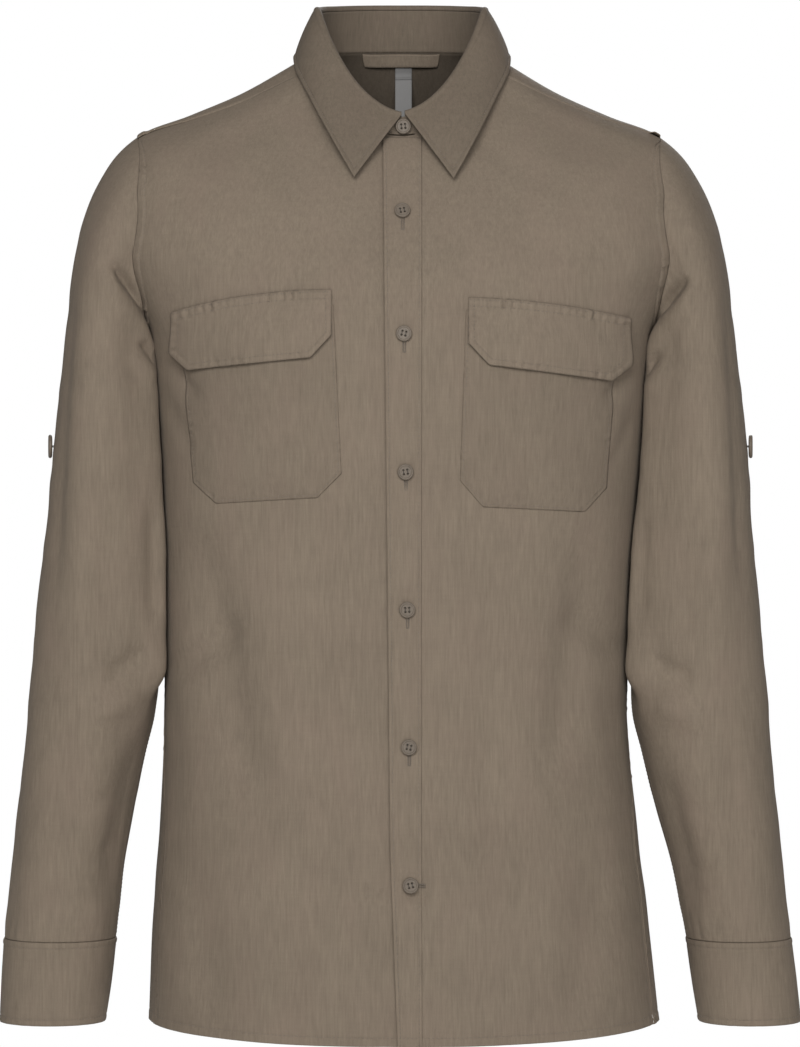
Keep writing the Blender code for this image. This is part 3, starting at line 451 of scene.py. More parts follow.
class Cloth:
    """A sheet as a grid of points (rows, columns, 3). facing is -1 where its rows and columns turn inward."""

    def __init__(self, points, facing=1, closed=False):
        self.points = np.asarray(points, float)
        self.facing = facing
        self.closed = closed

    def normals(self):
        if self.closed:
            ring = self.points[:, :-1]
            over = np.roll(ring, -1, axis=1) - np.roll(ring, 1, axis=1)
            over = np.concatenate([over, over[:, :1]], axis=1)
        else:
            over = np.gradient(self.points, axis=1)
        up = np.gradient(self.points, axis=0)
        return unit(np.cross(over, up)) * self.facing

    def inset(self, edge):
        """Distance from an edge along the grid: first_row, last_row, first_column or last_column."""
        axis = 0 if "row" in edge else 1
        step = np.linalg.norm(np.diff(self.points, axis=axis), axis=-1)
        run = np.insert(np.cumsum(step, axis=axis), 0, 0, axis=axis)
        if edge.startswith("last"):
            run = np.take(run, [-1], axis=axis) - run
        return run

    def raise_by(self, height):
        self.points = self.points + self.normals() * height[..., None]
        return self

    def line(self, edge, inset, first=0.0, last=1.0):
        """The line at this inset from an edge, with its normals, from share first to share last of the edge."""
        axis = 0 if "row" in edge else 1
        points, normals, run = self.points, self.normals(), self.inset(edge)
        if axis == 0:
            points, normals, run = points.transpose(1, 0, 2), normals.transpose(1, 0, 2), run.T
        count = len(points)
        rows = range(int(round(first * (count - 1))), int(round(last * (count - 1))) + 1)
        found = []
        for row in rows:
            order = np.argsort(run[row])
            found.append([np.interp(inset, run[row][order], both[row][order, part])
                          for both in (points, normals) for part in range(3)])
        found = np.array(found)
        return found[:, :3], unit(found[:, 3:])

    def flat(self):
        """Width and length of the sheet laid flat, and its area, in metres."""
        across = np.linalg.norm(np.diff(self.points, axis=1), axis=-1).sum(axis=1).max()
        along = np.linalg.norm(np.diff(self.points, axis=0), axis=-1).sum(axis=0).max()
        first = self.points[1:, 1:] - self.points[:-1, :-1]
        second = self.points[1:, :-1] - self.points[:-1, 1:]
        area = np.linalg.norm(np.cross(first, second), axis=-1).sum() / 2
        return (across * MM, along * MM), min(area * MM * MM, across * along * MM * MM)


ARMHOLE_SEAM = 7.2
HEM_SEAM = 6.5
EDGE_SEAM = 1.8
LEAF_SEAM = 4.2
CUFF_SEAM = 4.5
STRIP_SHARE = 0.8
RIPPLE_GAIN = 2.2
GROOVE_DEPTH = 0.45


def pucker(along, start):
    """Uneven little ripples along a seam, from -1 to 1."""
    ripple = np.sin(along / 6.1 * 2 * math.pi + start) + 0.8 * np.sin(along / 8.7 * 2 * math.pi + 2.1 * start)
    ripple += 0.7 * np.sin(along / 14.3 * 2 * math.pi + 0.7 * start)
    swell = 0.55 + 0.45 * np.sin(along / 61 * 2 * math.pi + 1.3 * start)
    return ripple / 2.5 * swell


def seam_relief(inset, along, width, height, ripple, start=0.0):
    """A seam's relief: a raised band as wide as width, ripples on it and a groove at its line of stitches."""
    band = ease((width + 1.2 - inset) / 1.8)
    groove = np.exp(-(((inset - width) / 0.9) ** 2))
    soft = ease(inset / 1.5) * ease((width + 3.5 - inset) / 4)
    return height * band - GROOVE_DEPTH * groove + RIPPLE_GAIN * ripple * pucker(along, start) * soft


def spaced(lengths, count, first=0.0, last=0.0):
    """Distances along rows of the given lengths, closer together near the ends that carry a seam."""
    lengths = np.asarray(lengths, float)[:, None]
    fine_first = np.arange(0, first, SEAM_GRID)[None, :]
    fine_last = np.arange(0, last, SEAM_GRID)[None, ::-1]
    middle = np.linspace(0, 1, count)[None, :]
    parts = [first + (lengths - first - last) * middle]
    if first:
        parts.insert(0, fine_first + 0 * lengths)
    if last:
        parts.append(lengths - fine_last)
    return np.concatenate(parts, axis=1)


def spread_over(first_angle, last_angle, level, count, first=0.0, last=0.0):
    """Angles on each row from first to last, spaced by their distances along the cloth."""
    share = np.linspace(0, 1, 61)
    rough = first_angle[:, None] + (last_angle - first_angle)[:, None] * share
    points = bare_surface(rough, level[:, None] if level.ndim == 1 else level)
    run = np.insert(np.cumsum(np.linalg.norm(np.diff(points, axis=1), axis=-1), axis=1), 0, 0, axis=1)
    wanted = spaced(run[:, -1], count, first, last)
    return np.array([np.interp(wanted[row], run[row], rough[row]) for row in range(len(run))])


def rows_between(length, first=0.0, last=0.0):
    """Shares from 0 to 1 along a length, closer together at the ends that carry a seam."""
    count = max(2, int((length - first - last) / GRID) + 1)
    return spaced([length], count, first, last)[0] / length


def low_levels():
    """Levels from the hem to the armpit, even in height and closer at the hem."""
    low, high = TRUNK[0].z_side, TRUNK[ARMPIT_LEVEL].z_side
    heights = low + (high - low) * rows_between(high - low, SEAM_BAND)
    return np.interp(heights, [row.z_side for row in TRUNK], range(len(TRUNK)))[:-1]


def front_edge(side):
    """Angle and level up the outer edge of a front, and the first and last row of its armhole."""
    low = low_levels()
    hole_angle, hole_level = armhole_stations(YOKE_FRONT_STATION, 180)
    share = rows_between(128, 0, SEAM_GRID)[1:]
    seam_angle = hole_angle[0] + (YOKE_FRONT_AT_NECK - hole_angle[0]) * share
    seam_level = hole_level[0] + (NECK_LEVEL - hole_level[0]) * share
    angle = np.concatenate([column(TRUNK, "side_seam", low), hole_angle[::-1], seam_angle])
    level = np.concatenate([low, hole_level[::-1], seam_level])
    return side * angle, level, len(low), len(low) + len(hole_level)


def band_edge(name, z):
    heights = [row.z for row in PLACKET]
    return np.interp(z, heights, [getattr(row, name) for row in PLACKET])


def hem_relief(cloth):
    rise = cloth.inset("first_row")
    return seam_relief(rise, cloth.inset("first_column"), HEM_SEAM, 0.35, 0.35, 1.1)


def front_cloth(side):
    """A front, side -1 for the wearer's right and +1 for the left, with its armhole seam."""
    edge_angle, level, hole_first, hole_last = front_edge(side)
    middle_z = column(TRUNK, "z_front", level)
    stitched = band_edge("stitched_edge", middle_z)
    reach = BAND_SEWN_OVER if side > 0 else PLACKET[-1].stitched_edge - UNDERLAP
    middle_angle, _ = find_on_front(stitched - reach, middle_z)
    angle = spread_over(middle_angle, edge_angle, level, 56, 0, SEAM_BAND)
    levels = level[:, None] + 0 * angle
    out = 0.0
    if side < 0:
        x = bare_surface(angle, levels)[..., 0]
        out = -ease((x - UNDER_STEP_X) / UNDER_STEP_WIDTH) * 1.5
    cloth = Cloth(shirt_surface(angle, levels, out), side)
    row = np.arange(len(level))[:, None]
    by_hole = ease((row - hole_first + 4) / 8) * ease((hole_last + 1 - row) / 4)
    by_side = 1 - ease((row - hole_first + 6) / 8)
    along = cloth.inset("first_row")[:, -1:]
    inset = cloth.inset("last_column")
    height = by_hole * seam_relief(inset, along, ARMHOLE_SEAM, 0.8, 0.95, 0.6 + side)
    height = height + by_side * seam_relief(inset, along, EDGE_SEAM, 0.15, 0.3, 1.7 + side)
    return cloth.raise_by(height + hem_relief(cloth)), hole_first, hole_last


def back_yoke_seam(angle_edge, level_edge, angle):
    """Level along the seam across the back at each angle."""
    level = np.full(len(angle), level_edge)
    for _ in range(LEVEL_STEPS):
        level += (YOKE_BACK_Z - bare_surface(angle, level)[:, 2]) / LEVEL_DAMPING
    level[0] = level_edge
    level[-1] = level_edge
    return level


def back_seam_line(count):
    """Angle and level along the seam across the back, from the wearer's left armhole to the right."""
    hole_angle, hole_level = armhole_stations(180, 360 + YOKE_BACK_STATION)
    angle = 180 + (180 - hole_angle[-1]) * np.linspace(-1, 1, count)
    return angle, back_yoke_seam(hole_angle[-1], hole_level[-1], angle)


def back_cloth():
    low = low_levels()
    hole_angle, hole_level = armhole_stations(180, 360 + YOKE_BACK_STATION)
    edge_angle = np.concatenate([column(TRUNK, "side_seam", low), hole_angle])
    edge_level = np.concatenate([low, hole_level])
    angle = spread_over(edge_angle, 360 - edge_angle, edge_level, 112, SEAM_BAND, SEAM_BAND)
    top_level = np.interp(angle[-1], *back_seam_line(angle.shape[1]))
    lift = (edge_level / edge_level[-1]) ** BACK_SEAM_POWER
    level = edge_level[:, None] + lift[:, None] * (top_level - edge_level[-1])
    cloth = Cloth(shirt_surface(angle, level))
    row = np.arange(len(edge_level))[:, None]
    by_hole = ease((row - len(low) + 4) / 8)
    height = hem_relief(cloth)
    for edge, start in (("first_column", 0.3), ("last_column", 2.6)):
        along = cloth.inset("first_row")[:, :1]
        inset = cloth.inset(edge)
        height = height + by_hole * seam_relief(inset, along, ARMHOLE_SEAM, 0.8, 0.95, start)
        height = height + (1 - by_hole) * seam_relief(inset, along, HEM_SEAM, 0.35, 0.4, start + 1)
    return cloth.raise_by(height), len(low)


def yoke_cloth():
    hole_angle, hole_level = armhole_stations(YOKE_BACK_STATION, YOKE_FRONT_STATION)
    seam_angle, seam_level = back_seam_line(115)
    outer_angle = np.concatenate([hole_angle[::-1], seam_angle[1:-1], 360 - hole_angle])
    outer_level = np.concatenate([hole_level[::-1], seam_level[1:-1], hole_level])
    over_shoulder = np.linspace(YOKE_FRONT_AT_NECK, YOKE_BACK_AT_NECK, len(hole_angle))
    across_back = np.linspace(YOKE_BACK_AT_NECK, 360 - YOKE_BACK_AT_NECK, len(seam_angle))
    neck_angle = np.concatenate([over_shoulder, across_back[1:-1], 360 - over_shoulder[::-1]])
    share = rows_between(118, SEAM_BAND)[:, None]
    angle = outer_angle + (neck_angle - outer_angle) * share
    level = outer_level + (NECK_LEVEL - outer_level) * share
    cloth = Cloth(shirt_surface(angle, level))
    count = len(hole_angle)
    place = np.arange(angle.shape[1])[None, :]
    from_end = np.minimum(place, angle.shape[1] - 1 - place)
    by_hole = ease((count + 1 - from_end) / 4)
    rise = cloth.inset("first_row")
    along = cloth.inset("first_column")[:1]
    height = by_hole * seam_relief(rise, along, ARMHOLE_SEAM, 0.8, 0.95, 0.9)
    height = height + (1 - by_hole) * seam_relief(rise, along, EDGE_SEAM, 0.4, 0.25, 2.2)
    front = np.minimum(cloth.inset("first_column"), cloth.inset("last_column"))
    height = height + YOKE_EDGE_RISE * ease((3.4 - front) / 1.6)
    cloth.raise_by(height)
    normals = cloth.normals().copy()
    for edge, beside in ((0, 1), (-1, -2)):
        way = unit(cloth.points[:, edge] - cloth.points[:, beside])
        cloth.points[:, edge] += way * YOKE_LAP - normals[:, edge] * YOKE_EDGE_DROP
    return cloth, count


def sleeve_ring(side, z, station):
    """Points round the arm at height z. Station 0 is outside, 90 in front, 180 against the body.

    The front inner quarter lies against the body's side."""
    at = len(SLEEVE) - 1 - rank(SLEEVE, "z", z)
    outer_name, inner_name = ("left_outer", "left_inner") if side > 0 else ("right_outer", "right_inner")
    downward = SLEEVE[::-1]
    outer = column(downward, outer_name, at)
    inner = column(downward, inner_name, at)
    forward, outward = direction_on_oval(station, column(downward, "squareness", at))
    x = (outer + inner) / 2 + (outer - inner) / 2 * outward
    wrap = np.maximum(column(downward, "wrap", at), 0)
    x = x - wrap * np.exp(-(((station - WRAP_STATION) / WRAP_SPREAD) ** 2))
    y = column(downward, "middle_y", at) - column(downward, "half_depth", at) * forward
    return np.stack([side * x, y, z + 0 * x], axis=-1)


def cap_rows(side, station):
    """The sleeve head: curves from the armhole out and down to the arm's first ring."""
    first = armhole_stations(0, 360)
    every = np.arange(0, 360 + ARMHOLE_STEP / 2, ARMHOLE_STEP)
    angle = np.interp(station, every, np.unwrap(first[0], period=360))
    level = np.interp(station, every, first[1])
    start = shirt_surface(side * angle, level)
    end = sleeve_ring(side, np.full(len(station), float(SLEEVE[0].z)), station)
    cosine = np.cos(np.radians(station))
    sine = np.sin(np.radians(station))
    top = (1 + cosine) / 2
    leave = unit(np.stack([side * (0.9 + 0 * cosine), -0.25 * sine, -0.2 - 0.45 * cosine], axis=-1))
    arrive = np.stack([side * 0.09 * top, 0 * top, -1 + 0 * top], axis=-1)
    start = start + leave * (0.3 + 1.2 * (1 - top))[:, None]
    leave = leave * (12 + 168 * top**2.2)[:, None]
    arrive = arrive * (10 + 160 * top**1.5)[:, None]
    rows = []
    shares = np.concatenate([np.linspace(0, 0.06, 7)[:-1], np.linspace(0.06, 1, 44)])
    for t in shares:
        from_start = start * (1 + 2 * t) * (1 - t) ** 2 + leave * t * (1 - t) ** 2
        to_end = end * t * t * (3 - 2 * t) + arrive * t * t * (t - 1)
        rows.append(from_start + to_end)
    return rows


def sleeve_cloth(side):
    """A sleeve from the armhole to the cuff, closed round the arm."""
    station = np.linspace(0, 360, 181)
    rows = cap_rows(side, station)
    length = SLEEVE[0].z - CUFF_TOP
    heights = SLEEVE[0].z - length * rows_between(length, 0, 8)[1:]
    rows += [sleeve_ring(side, np.full(len(station), z), station) for z in heights]
    folds = LEFT_SLEEVE_FOLDS if side > 0 else RIGHT_SLEEVE_FOLDS
    cloth = Cloth(rows, side, closed=True)
    normal = cloth.normals()
    middle = cloth.points.mean(axis=1, keepdims=True)
    if (normal * (cloth.points - middle)).sum() < 0:
        cloth.facing = -side
        normal = -normal
    x, z = cloth.points[..., 0], cloth.points[..., 2]
    facing = np.clip(np.abs(normal[..., 1]) * FACING_GAIN, 0, 1)
    from_hole = cloth.inset("first_row")
    from_cuff = cloth.inset("last_row")
    round_arm = station / 360 * 300
    quiet = ease(from_hole / 30) * ease(from_cuff / 12)
    height = facing * fold_height(folds, x, z) * ease(from_hole / 6) * ease(from_cuff / 10)
    height = height + wave_height(SLEEVE_WAVES, round_arm + 0 * x, z) * quiet
    ripple = pucker(round_arm * 1.1, 1.4 + side)
    height = height + 0.35 * ripple * ease(from_hole / 1.5) * ease((9 - from_hole) / 7)
    gathers = pucker(round_arm * 0.55, 0.4 + side)
    height = height + 0.6 * gathers * ease(from_cuff / 1.5) * ease((26 - from_cuff) / 22)
    seam = np.abs(station - 172) * 300 / 360
    height = height + 0.45 * ease((4.2 - seam) / 1.6) * ease(from_hole / 4)
    cloth.raise_by(height)
    cloth.points[:, -1] = cloth.points[:, 0]
    return cloth


def cuff_cloth(side):
    """A cuff: a strip wrapped once round the wrist, its top end lapped over the lower one."""
    turn = np.linspace(0, 360 + CUFF_OVERLAP, 131)
    station = CUFF_START - CUFF_OVERLAP / 2 + turn
    under = np.clip(1 - turn / (CUFF_OVERLAP + 22), 0, 1)
    step = ease(under * 2.4) * 2.0
    share = spaced([CUFF_TOP - 0.4 - CUFF_BOTTOM], 14, 8, 8)[0]
    rows = []
    for z in CUFF_BOTTOM + share:
        ring = sleeve_ring(side, np.full(len(station), z), station)
        middle = ring.mean(axis=0)
        rows.append(ring - unit(ring - middle) * step[:, None])
    cloth = Cloth(rows)
    outward = cloth.points - cloth.points.mean(axis=1, keepdims=True)
    if (cloth.normals() * outward).sum() < 0:
        cloth.facing = -1
    along = cloth.inset("first_column")
    height = 0.35 + 0 * along
    for edge, start in (("first_row", 0.2), ("last_row", 1.9)):
        height = height + seam_relief(cloth.inset(edge), along, CUFF_SEAM, 0.2, 0.25, start + side)
        height = height - 0.35 * ease((1.0 - cloth.inset(edge)) / 1.0)
    return cloth.raise_by(height)


def slit_cloth(side):
    """The strip on the sleeve's slit, pointed at its top."""
    rows = []
    heights = np.linspace(CUFF_TOP + 0.5, SLIT_TOP, 60)
    across = np.linspace(-1, 1, 13)
    for z in heights:
        stations = SLIT_ANGLE + across * SLIT_WIDTH / 2 * 1.25
        point = SLIT_TOP - np.abs(across) * 9
        rows.append(sleeve_ring(side, np.minimum(np.full(len(across), z), point), stations))
    rows = np.array(rows)
    outward = rows - np.array([side * 262, -18, 0])
    outward[..., 2] = 0
    cloth = Cloth(rows + unit(outward) * 1.1)
    if (cloth.normals() * outward).sum() < 0:
        cloth.facing = -1
    return cloth


def patch_outline(patch):
    """Corners of a pocket or flap in the front view, in order round it."""
    (tlx, tlz), (trx, trz) = patch.top_left, patch.top_right
    (llx, llz), (lrx, lrz) = patch.low_left, patch.low_right
    slope = (lrz - llz) / (lrx - llx)
    low_cut_left = (llx + patch.cut_width, llz + slope * patch.cut_width)
    low_cut_right = (lrx - patch.cut_width, lrz - slope * patch.cut_width)
    bowed = [(tlx + (trx - tlx) * t, tlz + (trz - tlz) * t + patch.bow * 4 * t * (1 - t))
             for t in np.linspace(0, 1, 9)]
    side_right = (lrx, lrz + patch.cut_height)
    side_left = (llx, llz + patch.cut_height)
    return np.array(bowed + [side_right, low_cut_right, low_cut_left, side_left])


def outline_inset(corners, x, z, skip=()):
    """Distance from x, z to the nearest side of a closed outline, and the distance run round it there."""
    nearest = np.full(np.shape(x), 1e9)
    along = np.zeros(np.shape(x))
    run = 0.0
    for number, start in enumerate(corners):
        end = corners[(number + 1) % len(corners)]
        line = end - start
        length = np.linalg.norm(line)
        share = np.clip(((x - start[0]) * line[0] + (z - start[1]) * line[1]) / length**2, 0, 1)
        away = np.hypot(x - start[0] - share * line[0], z - start[1] - share * line[1])
        if number not in skip:
            along = np.where(away < nearest, run + share * length, along)
            nearest = np.minimum(nearest, away)
        run += length
    return nearest, along


def patch_grid(patch, step):
    """x and z of a grid that fills a pocket or flap."""
    width = abs(patch.low_right[0] - patch.low_left[0])
    depth = abs(patch.low_right[1] - patch.top_right[1])
    across = np.linspace(0, 1, int(width / step) + 1)
    down = np.linspace(0, 1, int(depth / step) + 1)[:, None]
    top = np.outer(1 - across, patch.top_left) + np.outer(across, patch.top_right)
    low = np.outer(1 - across, patch.low_left) + np.outer(across, patch.low_right)
    top[:, 1] += patch.bow * 4 * across * (1 - across)
    from_corner = np.minimum(across, 1 - across) * width
    low[:, 1] += patch.cut_height * np.clip(1 - from_corner / patch.cut_width, 0, 1)
    x = top[:, 0] + (low[:, 0] - top[:, 0]) * down
    z = top[:, 1] + (low[:, 1] - top[:, 1]) * down
    return x, z


def pocket_cloth(patch):
    x, z = patch_grid(patch, 1.35)
    corners = patch_outline(patch)
    inset, along = outline_inset(corners, x, z, skip=range(8))
    start = patch.top_left[0] * 0.1
    rolled = 1 - np.exp(-inset / 0.9)
    out = 0.45 + 0.6 * rolled + seam_relief(inset, along, 2.2, 0.15, 0.4, start)
    bag = ease(inset / 22)
    out = out + bag * (1.2 + 0.5 * wave_height(TRUNK_WAVES, x * 1.4, z * 1.6))
    angle, level = find_on_front(x, z)
    return Cloth(shirt_surface(angle, level, out), -1)


def flap_cloth(patch):
    x, z = patch_grid(patch, 1.1)
    corners = patch_outline(patch)
    low_inset, along = outline_inset(corners, x, z, skip=range(8))
    top_inset, top_along = outline_inset(corners, x, z, skip=range(8, len(corners)))
    start = patch.top_left[0] * 0.13
    rolled = 1 - np.exp(-low_inset / 0.8)
    down = np.clip(top_inset / 46, 0, 1)
    out = 1.6 + 3.4 * ease(down * 1.2) + 0.35 * rolled
    out = out + seam_relief(low_inset, along, LEAF_SEAM, 0.35, 0.4, start)
    out = out + seam_relief(top_inset, top_along, 5.6, 0.45, 0.8, start + 2)
    out = out - 0.9 * ease((2.0 - top_inset) / 2.0)
    out = out + 0.5 * np.sin(along / 47 * 2 * math.pi + start) * ease((14 - low_inset) / 12) * down
    angle, level = find_on_front(x, z)
    return Cloth(shirt_surface(angle, level, out), -1)


def placket_cloth():
    length = -62 - 3.5 + 742
    share = rows_between(length, 8, 4)
    z = (-741.8 + length * share)[:, None]
    free = band_edge("free_edge", z)
    stitched = band_edge("stitched_edge", z)
    across = np.linspace(0, 1, 31)
    x = free + (stitched - free) * across
    inset_free = x - free
    inset_sewn = stitched - x
    along = z + 0 * x
    out = 0.85 + 0.4 * ease(inset_sewn / 12) + 0.25 * pucker(z + 0.15 * x, 3.0)
    out = out + seam_relief(inset_free, along, 2.4, 0.15, 0.22, 0.5)
    out = out + seam_relief(inset_sewn, along, 2.0, 0.1, 0.22, 2.5)
    out = out - 0.35 * ease((1.0 - inset_free)) - 0.6 * ease((1.4 - inset_sewn) / 1.4)
    out = out - 0.6 * np.exp(-(((z + 89) / 1.5) ** 2))
    for height in BUTTON_HEIGHTS:
        out = out - 0.35 * np.exp(-(((z - height) / 7) ** 2)) * np.exp(-((x - 3) / 9) ** 2)
        out = out + 0.3 * np.exp(-(((z - height - 17) / 6) ** 2)) * np.exp(-((x - 1) / 8) ** 2)
    last = BUTTON_HEIGHTS[-1]
    out = out + 1.3 * np.exp(-(((z - last - 8 + 0.25 * x) / 3.2) ** 2)) * ease((x + 6) / 10)
    out = out - 0.8 * np.exp(-(((z - last + 1 + 0.3 * x) / 3.0) ** 2)) * ease((x - 8) / 6)
    angle, level = find_on_front(x, z + 0 * x)
    return Cloth(shirt_surface(angle, level, out))


def collar_value(name, angle):
    """A column of COLLAR at each angle, alike on both sides."""
    turned = np.abs((np.asarray(angle, float) + 180) % 360 - 180)
    at = np.interp(turned, [row.angle for row in COLLAR], range(len(COLLAR)))
    return column(COLLAR, name, at)


def stand_base(angle):
    return shirt_surface(angle, np.full(np.shape(angle), float(NECK_LEVEL)))


def stand_point(angle, height):
    """A point of the collar stand, height above the neck seam, leaning in a little."""
    base = stand_base(angle)
    lean = 1 - STAND_LEAN * height / LOOP_HALF_WIDTH
    inward = ease((angle - 330) / 18) * STAND_UNDER_STEP
    plan = unit(base[..., :2]) * inward[..., None]
    point = base.copy()
    point[..., :2] = base[..., :2] * lean[..., None] - plan
    point[..., 2] += STAND_RISE + height
    return point


def stand_cloth():
    ends = STAND_TOP_END, 360 + STAND_UNDER_END
    angle = np.concatenate([
        np.linspace(ends[0], ends[0] + STAND_END_ROUND, 13)[:-1],
        np.linspace(ends[0] + STAND_END_ROUND, ends[1] - STAND_END_ROUND, 130),
        np.linspace(ends[1] - STAND_END_ROUND, ends[1], 13)[1:],
    ])
    from_end = np.minimum(angle - ends[0], ends[1] - angle)
    into = np.clip(1 - from_end / STAND_END_ROUND, 0, 0.93)
    top = collar_value("stand", angle) * np.sqrt(1 - into**2)
    share = np.linspace(0, 1, 25)[:, None]
    cloth = Cloth(stand_point(angle + 0 * share, share * top - 0.6 * (1 - share)))
    rise = cloth.inset("first_row")
    along = cloth.inset("first_column")
    return cloth.raise_by(seam_relief(rise, along, 2.0, 0.15, 0.2, 0.3) * ease(from_end / 3))


def leaf_cloth():
    """The leaf: sewn to the stand's top, rolled over, and laid out to its edge."""
    start = LEAF_MEETING + LEAF_MEETING_GAP
    end = 360 + LEAF_MEETING - LEAF_MEETING_GAP
    first_end = np.linspace(start, 16, 22)[:-1]
    last_end = np.linspace(344, end, 22)[1:]
    angle = np.concatenate([first_end, np.linspace(16, 344, 150), last_end])
    top = collar_value("stand", angle)
    seam = stand_point(angle, top)
    outward = stand_base(angle)
    outward[:, 2] = 0
    outward = unit(outward)
    centre = seam + outward * ROLL_RADIUS
    centre[:, 2] += LEAF_RISE + LEAF_ROLL_RISE
    rows = [seam + np.array([0, 0, LEAF_RISE])]
    for turn in np.radians(np.linspace(0, 180, 13)):
        row = centre - outward * ROLL_RADIUS * math.cos(turn)
        row[:, 2] += ROLL_RADIUS * math.sin(turn)
        rows.append(row)
    side = np.where(angle < 180, 1.0, -1.0)
    edge = np.stack([
        COLLAR_SHIFT_X * np.cos(np.radians(angle / 2)) ** 2 + side * collar_value("edge_x", angle),
        collar_value("edge_y", angle),
        collar_value("edge_z", angle) - side * COLLAR_TILT * np.clip(np.cos(np.radians(angle)), 0, 1),
    ], axis=-1)
    fold = rows[-1]
    control = (fold + edge) / 2 + outward * LEAF_BULGE
    shares = np.concatenate([np.linspace(0, 0.86, 26)[1:], np.linspace(0.86, 1, 15)[1:]])
    for t in shares:
        rows.append(fold * (1 - t) ** 2 + control * 2 * t * (1 - t) + edge * t * t)
    cloth = Cloth(rows, 1)
    outward_sum = (cloth.normals()[-5:] * outward).sum()
    if outward_sum < 0:
        cloth.facing = -1
    from_edge = cloth.inset("last_row")
    ends = np.minimum(cloth.inset("first_column"), cloth.inset("last_column"))
    laid = ease((np.arange(len(rows))[:, None] - 12) / 8)
    inset = np.minimum(from_edge, ends)
    height = seam_relief(inset, from_edge + ends, LEAF_SEAM, 0.3, 0.12, 0.8) * laid
    height = height + 0.25 * np.exp(-(((inset - 1.2) / 1.0) ** 2)) * laid
    height = height + 0.35 * np.sin(angle / 360 * 2 * math.pi * 5 + 1) * laid * ease(from_edge / 10)
    return cloth.raise_by(height)


def loop_cloth():
    """The hanger loop: a short strip inside the back neck, sewn at both ends and bowed off the yoke."""
    share = np.linspace(-1, 1, 61)
    off = 1.2 + 2.6 * (1 - share**4)
    rows = []
    for drop in np.linspace(LOOP_HEIGHT, 0, 9):
        wider = share * (33.0 - 0.75 * drop)
        angle = 180 + np.degrees(wider / TRUNK[NECK_LEVEL - 1].back)
        rows.append(shirt_surface(angle, find_drop(angle, drop + 0.6), -off))
    return Cloth(rows, -1)


def find_drop(angle, drop):
    """The level at which the cloth has fallen by drop below the neck seam."""
    top = bare_surface(angle, np.full(len(angle), float(NECK_LEVEL)))[:, 2]
    level = np.full(len(angle), NECK_LEVEL - 0.5)
    for _ in range(LEVEL_STEPS):
        level += (top - drop - bare_surface(angle, level)[:, 2]) / DROP_DAMPING
        level = np.minimum(level, NECK_LEVEL)
    return level


def label_cloth(top, length, out, curl):
    """A ribbon sewn in at the neck seam: it follows the yoke's inside, then hangs straight down."""
    z = top - length * np.linspace(0, 1, 60)[:, None]
    x = LABEL_LEFT + LABEL_WIDTH * np.linspace(0, 1, 15) + 0 * z
    sewn_z = np.maximum(z, LABEL_FREE_Z) + 0 * x
    angle, level = find_on_trunk(x, sewn_z, 0, 180 - x, NECK_LEVEL - 0.5 + 0 * x)
    points = shirt_surface(angle, level, out)
    points[..., 2] += z - sewn_z
    fall = (top - z) / length
    points[..., 1] -= curl * fall * fall + 0.4 * np.sin(fall * 9) * fall
    cloth = Cloth(points)
    if cloth.normals()[..., 1].sum() > 0:
        cloth.facing = -1
    return cloth


# Meshes


def joined_mesh(name, vertices, faces):
    mesh = bpy.data.meshes.new(name)
    mesh.from_pydata(np.asarray(vertices).tolist(), [], [list(face) for face in faces])
    mesh.polygons.foreach_set("use_smooth", [True] * len(mesh.polygons))
    mesh.validate()
    mesh.update()
    return mesh


def sheet_mesh(name, cloth):
    """A mesh over a sheet's grid. Edges that meet are welded."""
    points = cloth.points if cloth.facing > 0 else cloth.points[:, ::-1]
    rows, columns = points.shape[:2]
    mesh = bpy.data.meshes.new(name)
    grid = bmesh.new()
    bmesh.ops.create_grid(grid, x_segments=columns - 1, y_segments=rows - 1, size=1)
    grid.verts.ensure_lookup_table()
    for vertex, point in zip(grid.verts, points.reshape(-1, 3) * MM):
        vertex.co = point
    bmesh.ops.remove_doubles(grid, verts=grid.verts[:], dist=1e-7)
    for face in grid.faces:
        face.smooth = True
    grid.to_mesh(mesh)
    grid.free()
    return mesh


def add_piece(name, mesh, material):
    piece = bpy.data.objects.new(name, mesh)
    mesh.materials.append(material)
    bpy.context.scene.collection.objects.link(piece)
    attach(piece, "root")
    return piece


def add_cloth(name, cloth, wall, material, inside=None):
    """A sheet of cloth as a thin shell. It stands for the solid of its name."""
    piece = add_piece(f"{name}_cloth", sheet_mesh(name, cloth), material)
    solidify = piece.modifiers.new("wall", "SOLIDIFY")
    solidify.thickness = wall * MM
    solidify.offset = 0
    # inside: a darker material for the shell's inner faces, painted shade.
    if inside:
        piece.data.materials.append(inside)
        solidify.material_offset = 1
    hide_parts(name)
    flat, area = cloth.flat()
    return piece


def stitch_run(points, normals, length, gap, start=0.0):
    """Centres, directions and normals of the stitches along a line."""
    step = np.linalg.norm(np.diff(points, axis=0), axis=-1)
    run = np.insert(np.cumsum(step), 0, 0)
    keep = np.concatenate([[True], step > 1e-6])
    points, normals, run = points[keep], normals[keep], run[keep]
    middle = np.arange(start + length / 2, run[-1] - length / 2, length + gap)
    read = lambda values, at: np.stack([np.interp(at, run, values[:, part]) for part in range(3)], axis=-1)
    ahead = read(points, middle + length / 2)
    behind = read(points, middle - length / 2)
    return (ahead + behind) / 2, unit(ahead - behind), unit(read(normals, middle))


STITCH_SIDES = 6


